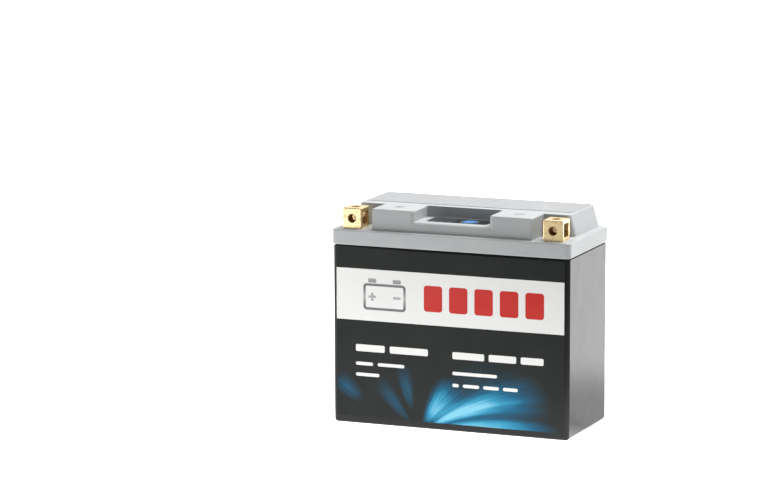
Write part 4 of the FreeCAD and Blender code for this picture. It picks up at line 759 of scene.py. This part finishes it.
def add_film_art(white, glow):
    """Windows over the light guides, a ring round the button, a heading bar and a border."""
    sheet = level_sheet("indicator_film")
    window_y = add_windows(sheet, white, glow)
    low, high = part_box("test_button")
    x, y = (low.x + high.x) / 2, (low.y + high.y) / 2
    radius = (high.x - low.x) / 2
    ring = radius + BUTTON_RING_GAP
    printed_ring("film_button_ring", sheet, circle(x, y, ring + BUTTON_RING_LINE), circle(x, y, ring),
                 white)
    film_low, film_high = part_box("indicator_film")
    heading = rounded(film_low.x + HEADING_MARGIN, x - radius - HEADING_BUTTON_GAP, window_y + HEADING_RISE,
                      window_y + HEADING_RISE + LEGEND_HEIGHT, LEGEND_CORNER)
    printed("film_legend_bar", sheet, heading, white)
    outer = inset(film_low, film_high, BORDER_INSET, BORDER_CORNERS[0])
    inner = inset(film_low, film_high, BORDER_INSET + BORDER_LINE, BORDER_CORNERS[1])
    printed_ring("film_border", sheet, outer, inner, white)


# ---------------------------------------------------------------- pieces: nut threads
NUT_BORE_RADIUS = 2.2 * MM
THREAD_PITCH = 0.8 * MM
THREAD_HALF_WIDTH = 0.42 * THREAD_PITCH
THREAD_DEPTH = 0.3 * MM
THREAD_STEPS = 28
THREAD_ROOT_OVERLAP = 0.05 * MM


def add_nut_thread(node, body, material):
    """A helical thread inside a nut whose bore runs along Y."""
    low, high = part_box(node)
    centre_x = (low.x + high.x) / 2
    centre_z = (low.z + high.z) / 2
    start = low.y + 0.5 * THREAD_PITCH
    turns = (high.y - low.y - THREAD_PITCH) / THREAD_PITCH
    steps = int(turns * THREAD_STEPS)
    root = NUT_BORE_RADIUS + THREAD_ROOT_OVERLAP
    crest = NUT_BORE_RADIUS - THREAD_DEPTH
    section = [(root, -THREAD_HALF_WIDTH), (crest, 0.0), (root, THREAD_HALF_WIDTH)]
    vertices = []
    for step in range(steps + 1):
        angle = 2 * math.pi * step / THREAD_STEPS
        along = start + THREAD_PITCH * step / THREAD_STEPS
        for radius, offset in section:
            vertices.append((centre_x + radius * math.cos(angle), along + offset,
                             centre_z + radius * math.sin(angle)))
    faces = [[0, 1, 2], [3 * steps, 3 * steps + 2, 3 * steps + 1]]
    for step in range(steps):
        base = 3 * step
        for i in range(3):
            j = (i + 1) % 3
            faces.append([base + i, base + j, base + 3 + j, base + 3 + i])
    add_mesh(node + "_thread", vertices, faces, material, body, True)


# ---------------------------------------------------------------- stage
def floor_light(finish):
    """Strength of the floor's own light: a pool round the object's front and a glow behind, to the right."""
    x, y, _ = finish.split()
    reach = finish.length(finish.math("MULTIPLY", x, POOL_ACROSS_SHARE), y)
    past_line = finish.math("SUBTRACT", y, finish.math("MULTIPLY", x, GLOW_LINE_SLOPE))
    glow = finish.math("MULTIPLY", finish.span(past_line, *GLOW_LINE_EDGE, 0.0, GLOW_STRENGTH, True),
                       finish.span(reach, *GLOW_REACH, GLOW_NEAR_SHARE, 1.0, True))
    pool = finish.math("ADD", finish.span(reach, *POOL_CORE_REACH, POOL_CORE_STRENGTH, 0.0, True),
                       finish.span(reach, *POOL_FRINGE_REACH, POOL_FRINGE_STRENGTH, 0.0, True))
    in_front = finish.math("MULTIPLY", pool, finish.span(y, *POOL_REAR_EDGE, 1.0, POOL_REAR_SHARE, True))
    return finish.math("MAXIMUM", glow, in_front)


def add_floor():
    """A large pale floor with a painted glow of light round the object."""
    half = FLOOR_SIZE / 2
    corners = [(-half, -half, 0), (half, -half, 0), (half, half, 0), (-half, half, 0)]
    mesh = bpy.data.meshes.new("floor")
    mesh.from_pydata(corners, [], [(0, 1, 2, 3)])
    floor = bpy.data.objects.new("floor", mesh)
    floor.location.z = -FLOOR_DROP
    bpy.context.scene.collection.objects.link(floor)
    finish = Finish("floor", Emission_Color=colour(1.0, 1.0, 1.0))
    cloud = finish.noise(0.4, 2.0)
    finish.feed("Base Color", finish.mix(cloud, colour(0.32, 0.32, 0.32), colour(0.34, 0.34, 0.34)))
    finish.feed("Roughness", finish.vary(finish.noise(0.02, 2.0), 0.75, 0.9))
    finish.feed("Emission Strength", floor_light(finish))
    mesh.materials.append(finish.material)


def add_world():
    """A pale room, darker on the camera's side."""
    world = bpy.data.worlds.new("studio")
    bpy.context.scene.world = world
    world.use_nodes = True
    nodes = world.node_tree.nodes
    links = world.node_tree.links
    background = next(node for node in nodes if node.type == "BACKGROUND")
    parts = nodes.new("ShaderNodeSeparateXYZ")
    links.new(nodes.new("ShaderNodeTexCoord").outputs["Generated"], parts.inputs[0])
    depth = nodes.new("ShaderNodeMapRange")
    depth.interpolation_type = "SMOOTHSTEP"
    for target, value in zip(list(depth.inputs)[1:5], ROOM_DEPTH + ROOM_STRENGTH):
        target.default_value = value
    links.new(parts.outputs["Y"], depth.inputs["Value"])
    links.new(depth.outputs[0], background.inputs["Strength"])
    background.inputs["Color"].default_value = colour(1.0, 1.0, 1.0)


def add_soft_light(name, place, size, watts):
    """A large square light that faces the object."""
    data = bpy.data.lights.new(name, "AREA")
    data.shape = "SQUARE"
    data.size = size
    data.energy = watts
    light = bpy.data.objects.new(name, data)
    light.location = place
    light.rotation_euler = (-place).to_track_quat("-Z", "Y").to_euler()
    bpy.context.scene.collection.objects.link(light)


def add_camera():
    """The camera that sees the object from in front."""
    data = bpy.data.cameras.new("camera")
    data.lens = CAMERA_LENS_MM
    data.sensor_width = CAMERA_SENSOR_MM
    data.clip_end = CAMERA_FAR
    camera = bpy.data.objects.new("camera", data)
    camera.location = CAMERA_PLACE
    camera.rotation_mode = "QUATERNION"
    aim = (CAMERA_TARGET - CAMERA_PLACE).to_track_quat("-Z", "Y")
    camera.rotation_quaternion = aim @ Quaternion((0.0, 0.0, 1.0), -CAMERA_ROLL)
    bpy.context.scene.collection.objects.link(camera)
    bpy.context.scene.camera = camera


# ---------------------------------------------------------------- build
def main():
    materials = make_materials()
    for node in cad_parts.values():
        slot_name = node.data.materials[0].name.split(".")[0]
        node.data.materials[0] = materials[slot_name]
    white = ink("white_ink", colour(0.79, 0.795, 0.775), colour(0.84, 0.84, 0.82))
    red = ink("red_ink", colour(0.53, 0.018, 0.012), colour(0.61, 0.028, 0.020))
    glow = ink("window_ink", colour(0.05, 0.06, 0.065), colour(0.09, 0.10, 0.11), (0.1, 0.2))
    add_front_art(white, red, metal_ink())
    add_film_art(ink("film_ink", colour(0.16, 0.17, 0.18), colour(0.24, 0.25, 0.26)), glow)
    # The nuts' threads take the same very dark brass: painted shade inside the terminal holes.
    for name in ("positive", "negative"):
        add_nut_thread(name + "_terminal_nut", name + "_nut", materials["dark_brass"])
    add_floor()
    add_world()
    add_soft_light("key", KEY_PLACE, KEY_SIZE, KEY_WATTS)
    add_camera()
    bpy.context.scene.view_settings.view_transform = "Standard"


main()
